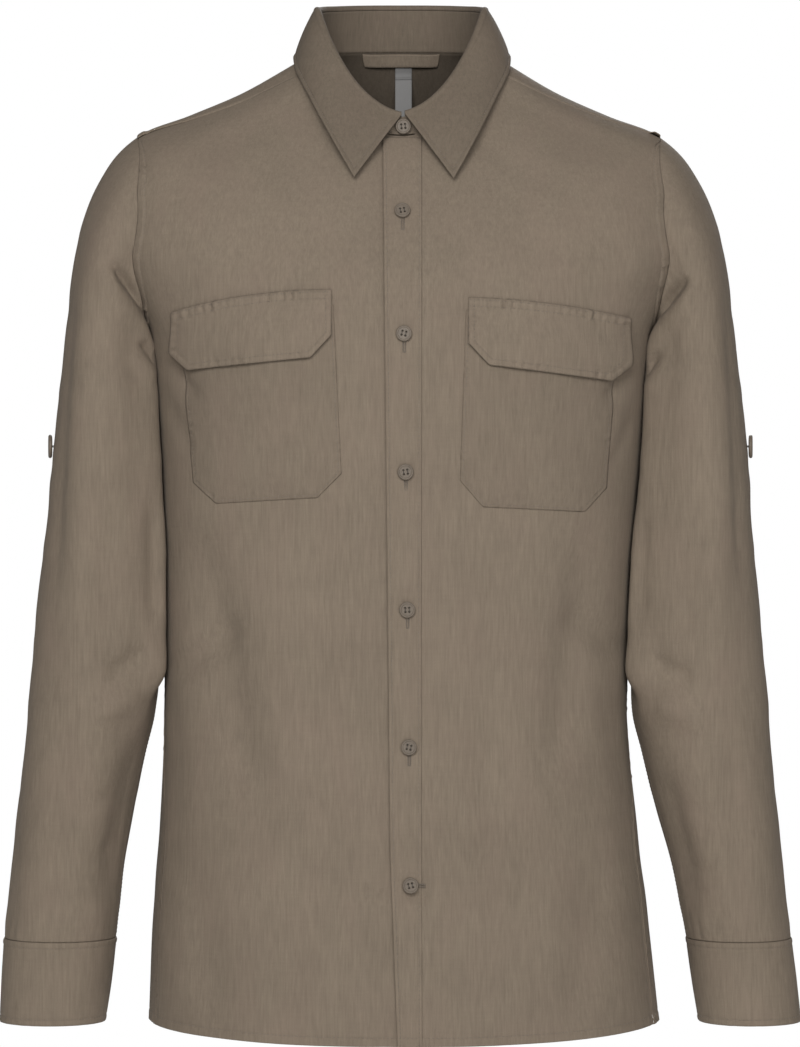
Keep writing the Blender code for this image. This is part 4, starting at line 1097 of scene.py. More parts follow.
def stitch_mesh(name, runs, length, thickness, lift):
    """All stitches of a piece as one mesh: each a small bead of thread with its ends drawn into the cloth."""
    centre, along, normal = (np.concatenate([run[part] for run in runs]) for part in range(3))
    across = unit(np.cross(normal, along))
    normal = unit(np.cross(along, across))
    seed = np.random.default_rng(len(centre))
    reach = length / 2 * seed.uniform(0.9, 1.06, len(centre))
    turn = np.arange(STITCH_SIDES) / STITCH_SIDES * 2 * math.pi
    radius = thickness / 2
    vertices = []
    for place, thick, sunk in ((-1.0, 0.0, 1.0), (-0.62, 1.0, 0.1), (0.62, 1.0, 0.1), (1.0, 0.0, 1.0)):
        middle = centre + along * (place * reach)[:, None] + normal * (lift - sunk * radius)
        if thick == 0:
            vertices.append(middle[:, None])
            continue
        ring = [middle + across * radius * math.cos(t) + normal * radius * 0.8 * math.sin(t) for t in turn]
        vertices.append(np.stack(ring, axis=1))
    vertices = np.concatenate(vertices, axis=1)
    count = vertices.shape[1]
    first, second, last = 1, 1 + STITCH_SIDES, count - 1
    faces = []
    for side in range(STITCH_SIDES):
        after = (side + 1) % STITCH_SIDES
        faces.append((0, first + after, first + side, -1))
        faces.append((first + side, first + after, second + after, second + side))
        faces.append((last, second + side, second + after, -1))
    pattern = np.array(faces)
    offsets = np.arange(len(vertices)) * count
    every = [[v + offset for v in face if v >= 0] for offset in offsets for face in pattern]
    return joined_mesh(name, vertices.reshape(-1, 3) * MM, every)


# Materials


class Shade:
    """A socket of a material, so that shading is written as sums."""

    def __init__(self, graph, socket):
        self.graph = graph
        self.socket = socket

    def _math(self, operation, first, second):
        return self.graph.node("ShaderNodeMath", {"operation": operation}, {0: first, 1: second})

    def __add__(self, other):
        return self._math("ADD", self, other)

    def __radd__(self, other):
        return self._math("ADD", other, self)

    def __sub__(self, other):
        return self._math("SUBTRACT", self, other)

    def __rsub__(self, other):
        return self._math("SUBTRACT", other, self)

    def __mul__(self, other):
        return self._math("MULTIPLY", self, other)

    def __rmul__(self, other):
        return self._math("MULTIPLY", other, self)

    def __gt__(self, other):
        return self._math("GREATER_THAN", self, other)

    def __abs__(self):
        return self._math("ABSOLUTE", self, 0.0)

    def sine(self):
        return self._math("SINE", self, 0.0)


class Graph:
    """The nodes of one material."""

    def __init__(self, name):
        self.material = bpy.data.materials.new(name)
        self.material.use_nodes = True
        self.tree = self.material.node_tree
        self.shader = self.tree.nodes["Principled BSDF"]

    def node(self, kind, settings, sockets, output=0):
        """A node of this kind, its settings set first, then the values or links of its sockets."""
        made = self.tree.nodes.new(kind)
        for key, value in settings.items():
            setattr(made, key, value)
        for key, value in sockets.items():
            if isinstance(value, Shade):
                self.tree.links.new(value.socket, made.inputs[key])
            else:
                made.inputs[key].default_value = value
        return Shade(self, made.outputs[output])

    def noise(self, vector, scale, detail=2.0, roughness=0.5):
        sockets = {"Vector": vector, "Scale": scale, "Detail": detail, "Roughness": roughness}
        return self.node("ShaderNodeTexNoise", {}, sockets)

    def stretched(self, vector, x, y, z):
        return self.node("ShaderNodeVectorMath", {"operation": "MULTIPLY"}, {0: vector, 1: (x, y, z)})

    def tinted(self, share, low, high):
        return self.node("ShaderNodeMix", {"data_type": "RGBA"}, {"Factor": share, 6: low, 7: high}, 2)

    def finish(self, sockets):
        for key, value in sockets.items():
            if isinstance(value, Shade):
                self.tree.links.new(value.socket, self.shader.inputs[key])
            else:
                self.shader.inputs[key].default_value = value
        return self.material


def scaled(colour, factor):
    return (*[channel * factor for channel in colour[:3]], 1.0)


def woven(name, colour, blush, pitch, relief, rough, sheen):
    """Plain-woven cotton: threads over and under, slubs down the warp, and slow uneven dyeing."""
    graph = Graph(name)
    place = graph.node("ShaderNodeTexCoord", {}, {}, "Object")
    parts = graph.node("ShaderNodeSeparateXYZ", {}, {"Vector": place})
    x, y, z = (Shade(graph, parts.socket.node.outputs[part]) for part in range(3))
    normal = graph.node("ShaderNodeTexCoord", {}, {}, "Normal")
    lean = graph.node("ShaderNodeSeparateXYZ", {}, {"Vector": normal})
    lean_x, lean_y = (Shade(graph, lean.socket.node.outputs[part]) for part in range(2))
    sideways = abs(lean_x) > abs(lean_y)
    around = x + sideways * (y - x)
    turns = 2 * math.pi / (pitch * MM)
    wander = graph.noise(place, 90.0, 1.0)
    warp = (around * turns + wander * 5.0).sine()
    weft = (z * turns + wander * 4.0).sine()
    weave = warp * weft
    slub = graph.noise(graph.stretched(place, 1.0, 1.0, 0.045), 1100.0, 2.0)
    cross_slub = graph.noise(graph.stretched(place, 0.06, 0.06, 1.0), 800.0, 1.0)
    cloud = graph.noise(place, 16.0, 3.0, 0.55)
    blotch = graph.noise(graph.stretched(place, 1.0, 1.0, 0.5), 34.0, 2.0)
    grain = graph.noise(place, 1900.0, 1.0)
    streak = graph.noise(graph.stretched(place, 1.0, 1.0, 0.1), 420.0, 2.0)
    light = 0.5 + (slub - 0.5) * 0.75 + (streak - 0.5) * 0.6 + (cross_slub - 0.5) * 0.15
    light = light + (cloud - 0.5) * 0.45 + (grain - 0.5) * 0.35 + weave * 0.02
    base = graph.tinted(light, scaled(colour, 0.74), scaled(colour, 1.26))
    base = graph.tinted((blotch - 0.42) * 1.6 * cloud, base, blush)
    height = weave * 0.35 + (slub - 0.5) * 1.6 + (streak - 0.5) * 0.8 + (cross_slub - 0.5) * 0.4
    bump = graph.node("ShaderNodeBump", {}, {"Strength": relief, "Distance": 0.0002, "Height": height})
    return graph.finish({
        "Base Color": base, "Roughness": rough + (slub - 0.5) * 0.12, "Normal": bump,
        "Sheen Weight": sheen, "Sheen Roughness": 0.45, "Specular IOR Level": 0.12,
    })


def thread_finish(name, colour):
    graph = Graph(name)
    place = graph.node("ShaderNodeTexCoord", {}, {}, "Object")
    twist = graph.noise(graph.stretched(place, 1.0, 1.0, 1.0), 2600.0, 1.0)
    base = graph.tinted(twist, scaled(colour, 0.8), scaled(colour, 1.2))
    bump = graph.node("ShaderNodeBump", {}, {"Strength": 0.4, "Distance": 0.0001, "Height": twist})
    return graph.finish({
        "Base Color": base, "Roughness": 0.62 + twist * 0.1, "Normal": bump, "Sheen Weight": 0.15,
    })


def moulded(name, colour):
    """Moulded button: satin, with faint swirls as in horn."""
    graph = Graph(name)
    place = graph.node("ShaderNodeTexCoord", {}, {}, "Object")
    swirl = graph.noise(graph.stretched(place, 1.0, 1.0, 0.4), 260.0, 3.0)
    wear = graph.noise(place, 900.0, 2.0)
    base = graph.tinted(swirl, scaled(colour, 0.82), scaled(colour, 1.22))
    bump = graph.node("ShaderNodeBump", {}, {"Strength": 0.12, "Distance": 0.0002, "Height": wear})
    return graph.finish({
        "Base Color": base, "Roughness": 0.42 + wear * 0.18, "Normal": bump, "Specular IOR Level": 0.3,
    })


def ribbon(name, colour):
    """Woven grey ribbon with fine ribs across it."""
    graph = Graph(name)
    place = graph.node("ShaderNodeTexCoord", {}, {}, "Object")
    parts = graph.node("ShaderNodeSeparateXYZ", {}, {"Vector": place})
    x, z = (Shade(graph, parts.socket.node.outputs[part]) for part in (0, 2))
    ribs = (z * (2 * math.pi / 0.0006)).sine() * 0.6 + (x * (2 * math.pi / 0.0005)).sine() * 0.4
    cloud = graph.noise(place, 120.0, 2.0)
    base = graph.tinted(0.5 + ribs * 0.2 + (cloud - 0.5) * 0.5, scaled(colour, 0.85), scaled(colour, 1.15))
    bump = graph.node("ShaderNodeBump", {}, {"Strength": 0.35, "Distance": 0.0001, "Height": ribs})
    return graph.finish({
        "Base Color": base, "Roughness": 0.5 + cloud * 0.15, "Normal": bump, "Sheen Weight": 0.2,
    })


def made_once(name, maker, *values):
    return bpy.data.materials.get(name) or maker(name, *values)


# What a user would change


class ShirtSizes(bpy.types.PropertyGroup):
    """Sizes of the cloth and the sewing."""

    cloth: bpy.props.FloatProperty(
        name="Cloth", description="Thickness of one layer",
        default=0.6 * MM, unit="LENGTH", precision=4,
    )
    folded: bpy.props.FloatProperty(
        name="Folded cloth", description="Thickness of collar, cuffs and band",
        default=1.15 * MM, unit="LENGTH", precision=4,
    )
    stitch: bpy.props.FloatProperty(
        name="Stitch", description="Length of one stitch",
        default=2.3 * MM, unit="LENGTH", precision=4,
    )
    gap: bpy.props.FloatProperty(
        name="Stitch gap", description="Cloth between two stitches",
        default=0.8 * MM, unit="LENGTH", precision=4,
    )
    thread: bpy.props.FloatProperty(
        name="Thread", description="Thickness of the thread",
        default=0.42 * MM, unit="LENGTH", precision=4,
    )
    pitch: bpy.props.FloatProperty(
        name="Weave pitch", description="Distance between two threads",
        default=0.55 * MM, unit="LENGTH", precision=5,
    )


class ShirtColours(bpy.types.PropertyGroup):
    """Colours of the shirt and of the stage."""

    cloth: bpy.props.FloatVectorProperty(
        name="Cloth", description="Dyed cotton",
        subtype="COLOR", default=(0.196, 0.157, 0.118),
    )
    blush: bpy.props.FloatVectorProperty(
        name="Blush", description="Warmer patches of the dye",
        subtype="COLOR", default=(0.206, 0.153, 0.120),
    )
    thread: bpy.props.FloatVectorProperty(
        name="Thread", description="Sewing thread",
        subtype="COLOR", default=(0.138, 0.110, 0.083),
    )
    button: bpy.props.FloatVectorProperty(
        name="Buttons", description="Moulded plastic",
        subtype="COLOR", default=(0.140, 0.113, 0.087),
    )
    label: bpy.props.FloatVectorProperty(
        name="Label", description="Grey ribbon",
        subtype="COLOR", default=SLOT_COLOURS["label"],
    )
    floor: bpy.props.FloatVectorProperty(
        name="Floor", description="Studio floor",
        subtype="COLOR", default=(0.86, 0.86, 0.85),
    )


# The collar uses a darker copy of the shirt cotton: painted shade, not a different cloth.
COLLAR_PAINTED_SHADE = 0.78
# The pockets use a darker copy of the shirt cotton: painted shade, not a different cloth.
POCKET_PAINTED_SHADE = 0.93
# Inner faces of back and yoke get a much darker copy of the cotton: painted shade inside the shirt.
INSIDE_PAINTED_SHADE = 0.4
RELIEF = 0.5
ROUGHNESS = 0.82
INSIDE_ROUGHNESS = 0.86
SHEEN = 0.03


class Shop:
    """Sizes in millimetres and finished materials, read from the scene's settings."""

    def __init__(self, context):
        sizes, colours = context.scene.shirt_sizes, context.scene.shirt_colours
        self.wall = sizes.cloth / MM
        self.folded = sizes.folded / MM
        self.stitch = sizes.stitch / MM
        self.gap = sizes.gap / MM
        self.thick = sizes.thread / MM
        pitch = sizes.pitch / MM
        # The collar and pocket copies of the cotton are darkened by their factors: painted shade.
        for name, shade_factor in (("cloth", 1.0), ("collar", COLLAR_PAINTED_SHADE), ("pocket", POCKET_PAINTED_SHADE)):
            dyed = scaled(colours.cloth, shade_factor), scaled(colours.blush, shade_factor)
            setattr(self, name, made_once(f"cotton_{name}", woven, *dyed, pitch, RELIEF, ROUGHNESS, SHEEN))
        # The inner faces' cotton is darkened: painted shade.
        inside = scaled(colours.cloth, INSIDE_PAINTED_SHADE)
        self.inside = made_once("cotton_inside", woven, inside, inside, pitch, RELIEF, INSIDE_ROUGHNESS, 0.0)
        self.thread = made_once("sewing_thread", thread_finish, colours.thread)
        self.button_thread = made_once("button_thread", thread_finish, scaled(colours.thread, 0.5))
        self.button = made_once("button_plastic", moulded, colours.button)
        self.label = made_once("label_ribbon", ribbon, colours.label)

    def sew(self, name, lines, wall, thick=1.0):
        """Stitches along lines of (points, normals), lying on a wall of this thickness."""
        runs = [stitch_run(points, normals, self.stitch, self.gap) for points, normals in lines]
        mesh = stitch_mesh(name, runs, self.stitch, self.thick * thick, wall / 2 + 0.06)
        return add_piece(name, mesh, self.thread)


def outline_line(patch, inset, first, last):
    """A line inside a patch, parallel to its corners first to last."""
    corners = patch_outline(patch)
    middle = corners.mean(axis=0)
    count = len(corners)
    moved = []
    for number in range(first, last + 1):
        before, here, after = (corners[(number + step) % count] for step in (-1, 0, 1))
        if number == first:
            before = here - (after - here)
        if number == last:
            after = here + (here - before)
        ways = []
        for one, other in ((before, here), (here, after)):
            way = (other - one) / np.linalg.norm(other - one)
            aside = np.array([-way[1], way[0]])
            ways.append(aside if aside @ (middle - here) > 0 else -aside)
        both = ways[0] + ways[1]
        moved.append(here + both * inset / max(both @ ways[0], 0.2))
    moved = np.array(moved)
    run = np.insert(np.cumsum(np.linalg.norm(np.diff(moved, axis=0), axis=-1)), 0, 0)
    at = np.arange(0, run[-1], 1.0)
    x, z = (np.interp(at, run, moved[:, part]) for part in range(2))
    return x, z


def nearest_on(cloth, x, z):
    """Points and normals of a sheet at x, z of the front view, from its nearest grid points."""
    points, normals = cloth.points.reshape(-1, 3), cloth.normals().reshape(-1, 3)
    found = []
    for px, pz in zip(x, z):
        away = (points[:, 0] - px) ** 2 + (points[:, 2] - pz) ** 2
        near = np.argpartition(away, 4)[:4]
        weight = 1 / (away[near] + 0.05)
        weight /= weight.sum()
        point = (points[near] * weight[:, None]).sum(axis=0)
        point[0] = px
        point[2] = pz
        found.append(np.concatenate([point, (normals[near] * weight[:, None]).sum(axis=0)]))
    found = np.array(found)
    return found[:, :3], unit(found[:, 3:])


class SHIRT_OT_fronts(bpy.types.Operator):
    """Both fronts with their armhole seams"""

    bl_idname = "shirt.fronts"
    bl_label = "Fronts"

    def execute(self, context):
        shop = Shop(context)
        for side, name in ((-1, "front_right"), (1, "front_left")):
            cloth, first, last = front_cloth(side)
            add_cloth(name, cloth, shop.wall, shop.cloth)
            count = len(cloth.points) - 1
            lines = [
                cloth.line("last_column", ARMHOLE_SEAM, first / count, last / count),
                cloth.line("last_column", EDGE_SEAM, 0, first / count),
                cloth.line("first_row", HEM_SEAM, 0.0, 1.0),
            ]
            shop.sew(f"{name}_stitches", lines, shop.wall)
        return {"FINISHED"}


class SHIRT_OT_back(bpy.types.Operator):
    """The back panel"""

    bl_idname = "shirt.back"
    bl_label = "Back"

    def execute(self, context):
        shop = Shop(context)
        cloth, first = back_cloth()
        # Inner faces of the back take the darker cotton: painted shade.
        add_cloth("back", cloth, shop.wall, shop.cloth, inside=shop.inside)
        split = first / (len(cloth.points) - 1)
        lines = [cloth.line("first_row", HEM_SEAM)]
        for edge in ("first_column", "last_column"):
            lines.append(cloth.line(edge, ARMHOLE_SEAM, split, 1))
            lines.append(cloth.line(edge, HEM_SEAM, 0, split))
        shop.sew("back_stitches", lines, shop.wall)
        return {"FINISHED"}


class SHIRT_OT_yoke(bpy.types.Operator):
    """The yoke over the shoulders"""

    bl_idname = "shirt.yoke"
    bl_label = "Yoke"

    def execute(self, context):
        shop = Shop(context)
        cloth, hole = yoke_cloth()
        # Inner faces of the yoke take the darker cotton: painted shade.
        add_cloth("yoke", cloth, shop.wall, shop.cloth, inside=shop.inside)
        share = hole / (cloth.points.shape[1] - 1)
        lines = [
            cloth.line("first_row", ARMHOLE_SEAM, 0, share),
            cloth.line("first_row", ARMHOLE_SEAM, 1 - share, 1),
            cloth.line("first_row", EDGE_SEAM, share, 1 - share),
            cloth.line("first_column", EDGE_SEAM),
            cloth.line("last_column", EDGE_SEAM),
        ]
        shop.sew("yoke_stitches", lines, shop.wall)
        return {"FINISHED"}


class SHIRT_OT_sleeves(bpy.types.Operator):
    """Both sleeves with their underarm seams"""

    bl_idname = "shirt.sleeves"
    bl_label = "Sleeves"

    def execute(self, context):
        shop = Shop(context)
        for side, name in ((-1, "sleeve_right"), (1, "sleeve_left")):
            cloth = sleeve_cloth(side)
            add_cloth(name, cloth, shop.wall, shop.cloth)
            normals = cloth.normals()
            lines = []
            for station in (168.0, 176.0):
                place = station / 360 * (cloth.points.shape[1] - 1)
                low = int(place)
                share = place - low
                line = cloth.points[:, low] * (1 - share) + cloth.points[:, low + 1] * share
                lines.append((line[4:-1], normals[4:-1, low]))
            shop.sew(f"{name}_stitches", lines, shop.wall)
        return {"FINISHED"}


class SHIRT_OT_cuffs(bpy.types.Operator):
    """Both cuffs and the strips on the sleeve slits"""

    bl_idname = "shirt.cuffs"
    bl_label = "Cuffs"

    def execute(self, context):
        shop = Shop(context)
        for side, name in ((-1, "right"), (1, "left")):
            cuff = cuff_cloth(side)
            add_cloth(f"cuff_{name}", cuff, shop.folded, shop.cloth)
            lines = [cuff.line(edge, CUFF_SEAM) for edge in ("first_row", "last_row")]
            lines.append(cuff.line("last_column", 2.5, 0.06, 0.94))
            shop.sew(f"cuff_{name}_stitches", lines, shop.folded)
            strip = slit_cloth(side)
            wall = shop.folded * STRIP_SHARE
            add_cloth(f"sleeve_placket_{name}", strip, wall, shop.cloth)
            lines = [strip.line(edge, EDGE_SEAM, 0.02, 0.98) for edge in ("first_column", "last_column")]
            shop.sew(f"sleeve_placket_{name}_stitches", lines, wall)
        return {"FINISHED"}


class SHIRT_OT_collar(bpy.types.Operator):
    """The collar's stand and leaf"""

    bl_idname = "shirt.collar"
    bl_label = "Collar"

    def execute(self, context):
        shop = Shop(context)
        stand = stand_cloth()
        # The collar's cotton is the darker copy: painted shade.
        add_cloth("collar_stand", stand, shop.folded, shop.collar)
        shop.sew("collar_stand_stitches", [stand.line("first_row", 2.0, 0.04, 0.96)], shop.folded)
        leaf = leaf_cloth()
        add_cloth("collar_leaf", leaf, shop.folded, shop.collar)
        lines = [
            leaf.line("last_row", LEAF_SEAM, 0.02, 0.98),
            leaf.line("first_column", LEAF_SEAM, 0.3, 0.93),
            leaf.line("last_column", LEAF_SEAM, 0.3, 0.93),
        ]
        shop.sew("collar_leaf_stitches", lines, shop.folded)
        return {"FINISHED"}


class SHIRT_OT_placket(bpy.types.Operator):
    """The folded band of the button front"""

    bl_idname = "shirt.placket"
    bl_label = "Button band"

    def execute(self, context):
        shop = Shop(context)
        cloth = placket_cloth()
        add_cloth("placket", cloth, shop.folded, shop.cloth)
        lines = [cloth.line("first_column", 2.4, 0.0, 0.995), cloth.line("last_column", 2.0, 0.0, 0.995)]
        lines.append(cloth.line("first_row", HEM_SEAM, 0.03, 0.97))
        shop.sew("placket_stitches", lines, shop.folded)
        return {"FINISHED"}


class SHIRT_OT_pockets(bpy.types.Operator):
    """Both patch pockets and their flaps"""

    bl_idname = "shirt.pockets"
    bl_label = "Pockets"

    def execute(self, context):
        shop = Shop(context)
        for patch in (POCKET_RIGHT, POCKET_LEFT):
            cloth = pocket_cloth(patch)
            # The pocket's cotton is the darker copy: painted shade.
            add_cloth(patch.name, cloth, shop.wall, shop.pocket)
            lines = [nearest_on(cloth, *outline_line(patch, 2.2, 8, 13))]
            shop.sew(f"{patch.name}_stitches", lines, shop.wall)
        for patch in (FLAP_RIGHT, FLAP_LEFT):
            cloth = flap_cloth(patch)
            add_cloth(patch.name, cloth, shop.folded, shop.cloth)
            lines = [
                nearest_on(cloth, *outline_line(patch, 4.2, 8, 13)),
                nearest_on(cloth, *outline_line(patch, 1.6, 0, 8)),
                nearest_on(cloth, *outline_line(patch, 6.4, 0, 8)),
            ]
            shop.sew(f"{patch.name}_stitches", lines, shop.folded)
        return {"FINISHED"}


class SHIRT_OT_neck_trims(bpy.types.Operator):
    """The hanger loop and the bare labels inside the neck"""

    bl_idname = "shirt.neck_trims"
    bl_label = "Neck trims"

    def execute(self, context):
        shop = Shop(context)
        loop = loop_cloth()
        add_cloth("hanger_loop", loop, 1.0, shop.cloth)
        lines = [loop.line("first_row", 1.6, 0.04, 0.96), loop.line("last_row", 1.6, 0.04, 0.96)]
        shop.sew("hanger_loop_stitches", lines, 1.0)
        label = label_cloth(LABEL_TOP, LABEL_LENGTH, -1.0, 1.5)
        add_cloth("neck_label", label, 0.4, shop.label)
        tab = label_cloth(SIZE_LABEL_TOP + 4, SIZE_LABEL_LENGTH + 4, -1.9, -0.3)
        add_cloth("size_label", tab, 0.6, shop.label)
        return {"FINISHED"}


# Buttons

Profile = namedtuple("Profile", "radius height")
RIM = (
    Profile(0.66, -0.30), Profile(0.70, 0.10), Profile(0.76, 0.42), Profile(0.84, 0.50),
    Profile(0.93, 0.44), Profile(0.985, 0.24), Profile(1.0, 0.0), Profile(0.97, -0.26),
    Profile(0.88, -0.44), Profile(0.74, -0.50),
)
RIM_SIDES = 48
STEM_RADIUS = 0.7
STEM_DEPTH = 0.62
BUTTON_THREAD = 0.36


def button_mesh(name, diameter, thickness, hole, spacing):
    """A four-hole button: a plate with real holes inside a rolled rim."""
    curve = bpy.data.curves.new(name, "CURVE")
    curve.dimensions = "2D"
    curve.fill_mode = "BOTH"
    curve.extrude = thickness * 0.16 * MM
    curve.bevel_depth = thickness * 0.06 * MM
    curve.bevel_resolution = 2
    half = spacing / 2
    rounds = [(0, 0, diameter * 0.37, 48)]
    rounds += [(x, y, hole / 2, 16) for x, y in ((-half, -half), (half, -half), (half, half), (-half, half))]
    for x, y, radius, sides in rounds:
        spline = curve.splines.new("POLY")
        spline.points.add(sides - 1)
        spline.use_cyclic_u = True
        for number, point in enumerate(spline.points):
            turn = 2 * math.pi * number / sides
            point.co = ((x + radius * math.cos(turn)) * MM, (y + radius * math.sin(turn)) * MM, 0, 1)
    plate = bpy.data.objects.new(name, curve)
    shape = bmesh.new()
    shape.from_mesh(plate.to_mesh())
    plate.to_mesh_clear()
    bpy.data.objects.remove(plate)
    rings = []
    for row in RIM:
        ring = []
        for number in range(RIM_SIDES):
            turn = 2 * math.pi * number / RIM_SIDES
            radius = row.radius * diameter / 2 * MM
            level = row.height * thickness * MM
            ring.append(shape.verts.new((radius * math.cos(turn), radius * math.sin(turn), level)))
        rings.append(ring)
    for number, ring in enumerate(rings):
        after = rings[(number + 1) % len(rings)]
        for side in range(RIM_SIDES):
            beside = (side + 1) % RIM_SIDES
            shape.faces.new((ring[side], ring[beside], after[beside], after[side]))
    bmesh.ops.recalc_face_normals(shape, faces=shape.faces[:])
    mesh = bpy.data.meshes.new(name)
    shape.to_mesh(mesh)
    shape.free()
    mesh.polygons.foreach_set("use_smooth", [True] * len(mesh.polygons))
    return mesh


def button_threads(spacing, thickness):
    """Lines of thread through the holes, in the button's own frame."""
    half = spacing / 2
    lift = thickness * 0.24
    centres, ways, ups = [], [], []
    for x in (-half, half):
        for aside in (-0.2, 0.2):
            centres.append((x + aside, 0, lift))
            ways.append((0, 1, 0))
            ups.append((0, 0, 1))
    return np.array(centres, float), np.array(ways, float), np.array(ups, float)


def place_button(name, node, meshes, place, outward, shop, spacing, thickness, spin=0.0):
    """Puts a button and its threads at place, its face turned to outward. It stands for the node."""
    turn = Vector(outward).to_track_quat("Z", "Y")
    frame_matrix = np.array(turn.to_matrix())
    rotated = np.array([[math.cos(spin), -math.sin(spin), 0], [math.sin(spin), math.cos(spin), 0], [0, 0, 1]])
    whole = frame_matrix @ rotated
    mesh = meshes.copy()
    points = np.empty(len(mesh.vertices) * 3)
    mesh.vertices.foreach_get("co", points)
    points = points.reshape(-1, 3) @ whole.T + np.asarray(place) * MM
    mesh.vertices.foreach_set("co", points.ravel())
    mesh.update()
    piece = add_piece(name, mesh, shop.button)
    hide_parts(node)
    centres, ways, ups = button_threads(spacing, thickness)
    run = (centres @ whole.T + np.asarray(place), ways @ whole.T, ups @ whole.T)
    stem_turns = np.linspace(0, 2 * math.pi, 9)[:-1]
    stem_way = np.tile((0.0, 0.0, 1.0), (8, 1))
    stem_up = np.stack([np.cos(stem_turns), np.sin(stem_turns), 0 * stem_turns], axis=-1)
    stem_at = STEM_RADIUS * stem_up - thickness * STEM_DEPTH * stem_way
    stem = (stem_at @ whole.T + np.asarray(place), stem_way @ whole.T, stem_up @ whole.T)
    threads = stitch_mesh(name, [run, stem], spacing + 0.9, BUTTON_THREAD, 0.0)
    add_piece(f"{name}_thread", threads, shop.button_thread)
    return piece


def buttonhole(name, x, z, length, upright, out, shop):
    """A worked buttonhole on the band: two rows of close stitches beside the slit and a bar at each end."""
    lines = []
    pitch = 0.5
    count = int(length / pitch)
    at = (np.arange(count) - (count - 1) / 2) * pitch
    for aside in (-0.8, 0.8):
        px, pz = (x + aside + 0 * at, z + at) if upright else (x + at, z + aside + 0 * at)
        lines.append((px, pz, upright))
    bars = np.linspace(-1.0, 1.0, 5)
    for end in (-1, 1):
        shift = end * (length / 2 + 0.1)
        px, pz = (x + bars, z + shift + 0 * bars) if upright else (x + shift + 0 * bars, z + bars)
        lines.append((px, pz, not upright))
    runs = []
    for px, pz, across in lines:
        centre = on_front(px, pz, out)
        beyond = on_front(px, pz, out + 1)
        normal = unit(beyond - centre)
        way = np.tile((1.0, 0.0, 0.0) if across else (0.0, 0.0, 1.0), (len(px), 1))
        runs.append((centre, unit(way - normal * (way * normal).sum(axis=-1, keepdims=True)), normal))
    return add_piece(name, stitch_mesh(name, runs, 1.35, 0.42, 0.05), shop.thread)


SHIRT_BUTTON = dict(diameter=12, thickness=2.4, hole=1.9, spacing=2.9)
ROLL_UP_BUTTON = dict(diameter=18, thickness=3.0, hole=2.1, spacing=4.4)
BAND_FACE = 1.25 + 0.6


class SHIRT_OT_front_buttons(bpy.types.Operator):
    """The row of buttons, the collar button and the buttonholes"""

    bl_idname = "shirt.front_buttons"
    bl_label = "Front buttons"

    def execute(self, context):
        shop = Shop(context)
        mesh = button_mesh("shirt_button", **SHIRT_BUTTON)
        top, bottom = BUTTON_HEIGHTS[0], BUTTON_HEIGHTS[-1]
        for number, z in enumerate(BUTTON_HEIGHTS, 1):
            share = (top - z) / (top - bottom)
            x = FRONT_BUTTON_X_TOP + (FRONT_BUTTON_X_BOTTOM - FRONT_BUTTON_X_TOP) * share
            under = on_front(x, z, 0.0)
            place = on_front(x, z, BAND_FACE + 0.7 + SHIRT_BUTTON["thickness"] / 2)
            spin = 0.25 * math.sin(number * 2.3)
            name = f"button_front_{number}"
            place_button(f"{name}_moulded", name, mesh, place, place - under, shop,
                         SHIRT_BUTTON["spacing"], SHIRT_BUTTON["thickness"], spin)
            if number < len(BUTTON_HEIGHTS):
                buttonhole(f"buttonhole_{number}", x + 0.3, z - 6.2, 14.5, True, BAND_FACE, shop)
            else:
                buttonhole(f"buttonhole_{number}", x + 3.0, z, 14.5, False, BAND_FACE, shop)
        collar = stand_point(np.array([1.5]), np.array([COLLAR_BUTTON_HEIGHT]))[0]
        outward = np.array([0.0, -1.0, 0.08])
        place = collar + outward * (0.8 + 0.7 + SHIRT_BUTTON["thickness"] / 2)
        place_button("button_collar_moulded", "button_collar", mesh, place, outward, shop,
                     SHIRT_BUTTON["spacing"], SHIRT_BUTTON["thickness"], 0.1)
        return {"FINISHED"}


class SHIRT_OT_sleeve_buttons(bpy.types.Operator):
    """The roll-up buttons and the cuff buttons"""

    bl_idname = "shirt.sleeve_buttons"
    bl_label = "Sleeve buttons"

    def execute(self, context):
        shop = Shop(context)
        small = button_mesh("cuff_button", **SHIRT_BUTTON)
        large = button_mesh("roll_up_button", **ROLL_UP_BUTTON)
        for side, name in ((-1, "right"), (1, "left")):
            station = np.array([-20.0, 0.0, 20.0]) + ROLL_UP_BUTTON_STATION
            ring = sleeve_ring(side, np.full(3, ROLL_UP_BUTTON_Z), station)
            along = ring[2] - ring[0]
            outward = unit(np.array([side * abs(along[1]), -abs(along[0]), 0.0]))
            place = ring[1] + outward * (1.0 + ROLL_UP_BUTTON["thickness"] / 2 + 0.7)
            node = f"button_sleeve_{name}"
            place_button(f"{node}_moulded", node, large, place, outward, shop,
                         ROLL_UP_BUTTON["spacing"], ROLL_UP_BUTTON["thickness"], 0.3)
            middle_z = (CUFF_TOP + CUFF_BOTTOM) / 2
            ring = sleeve_ring(side, np.full(3, middle_z), CUFF_START + np.array([-8.0, 0.0, 8.0]))
            along = ring[2] - ring[0]
            outward = unit(np.array([side * abs(along[1]), abs(along[0]), 0.0]))
            place = ring[1] + outward * (1.1 + SHIRT_BUTTON["thickness"] / 2 + 0.5)
            node = f"button_cuff_{name}"
            place_button(f"{node}_moulded", node, small, place, outward, shop,
                         SHIRT_BUTTON["spacing"], SHIRT_BUTTON["thickness"], 0.2)
        return {"FINISHED"}


# Stage

CAMERA_DISTANCE = 3.0
CAMERA_HEIGHT = -0.355
CAMERA_X = -0.0008
FRAME_HEIGHT = 1047 * 0.77 * MM
SENSOR = 24.0
FLOOR_Z = -1.02
FLOOR_FRONT = -4.2
FLOOR_BACK = 1.25
FLOOR_HALF_WIDTH = 2.6
ROOM_LIGHT = 0.2

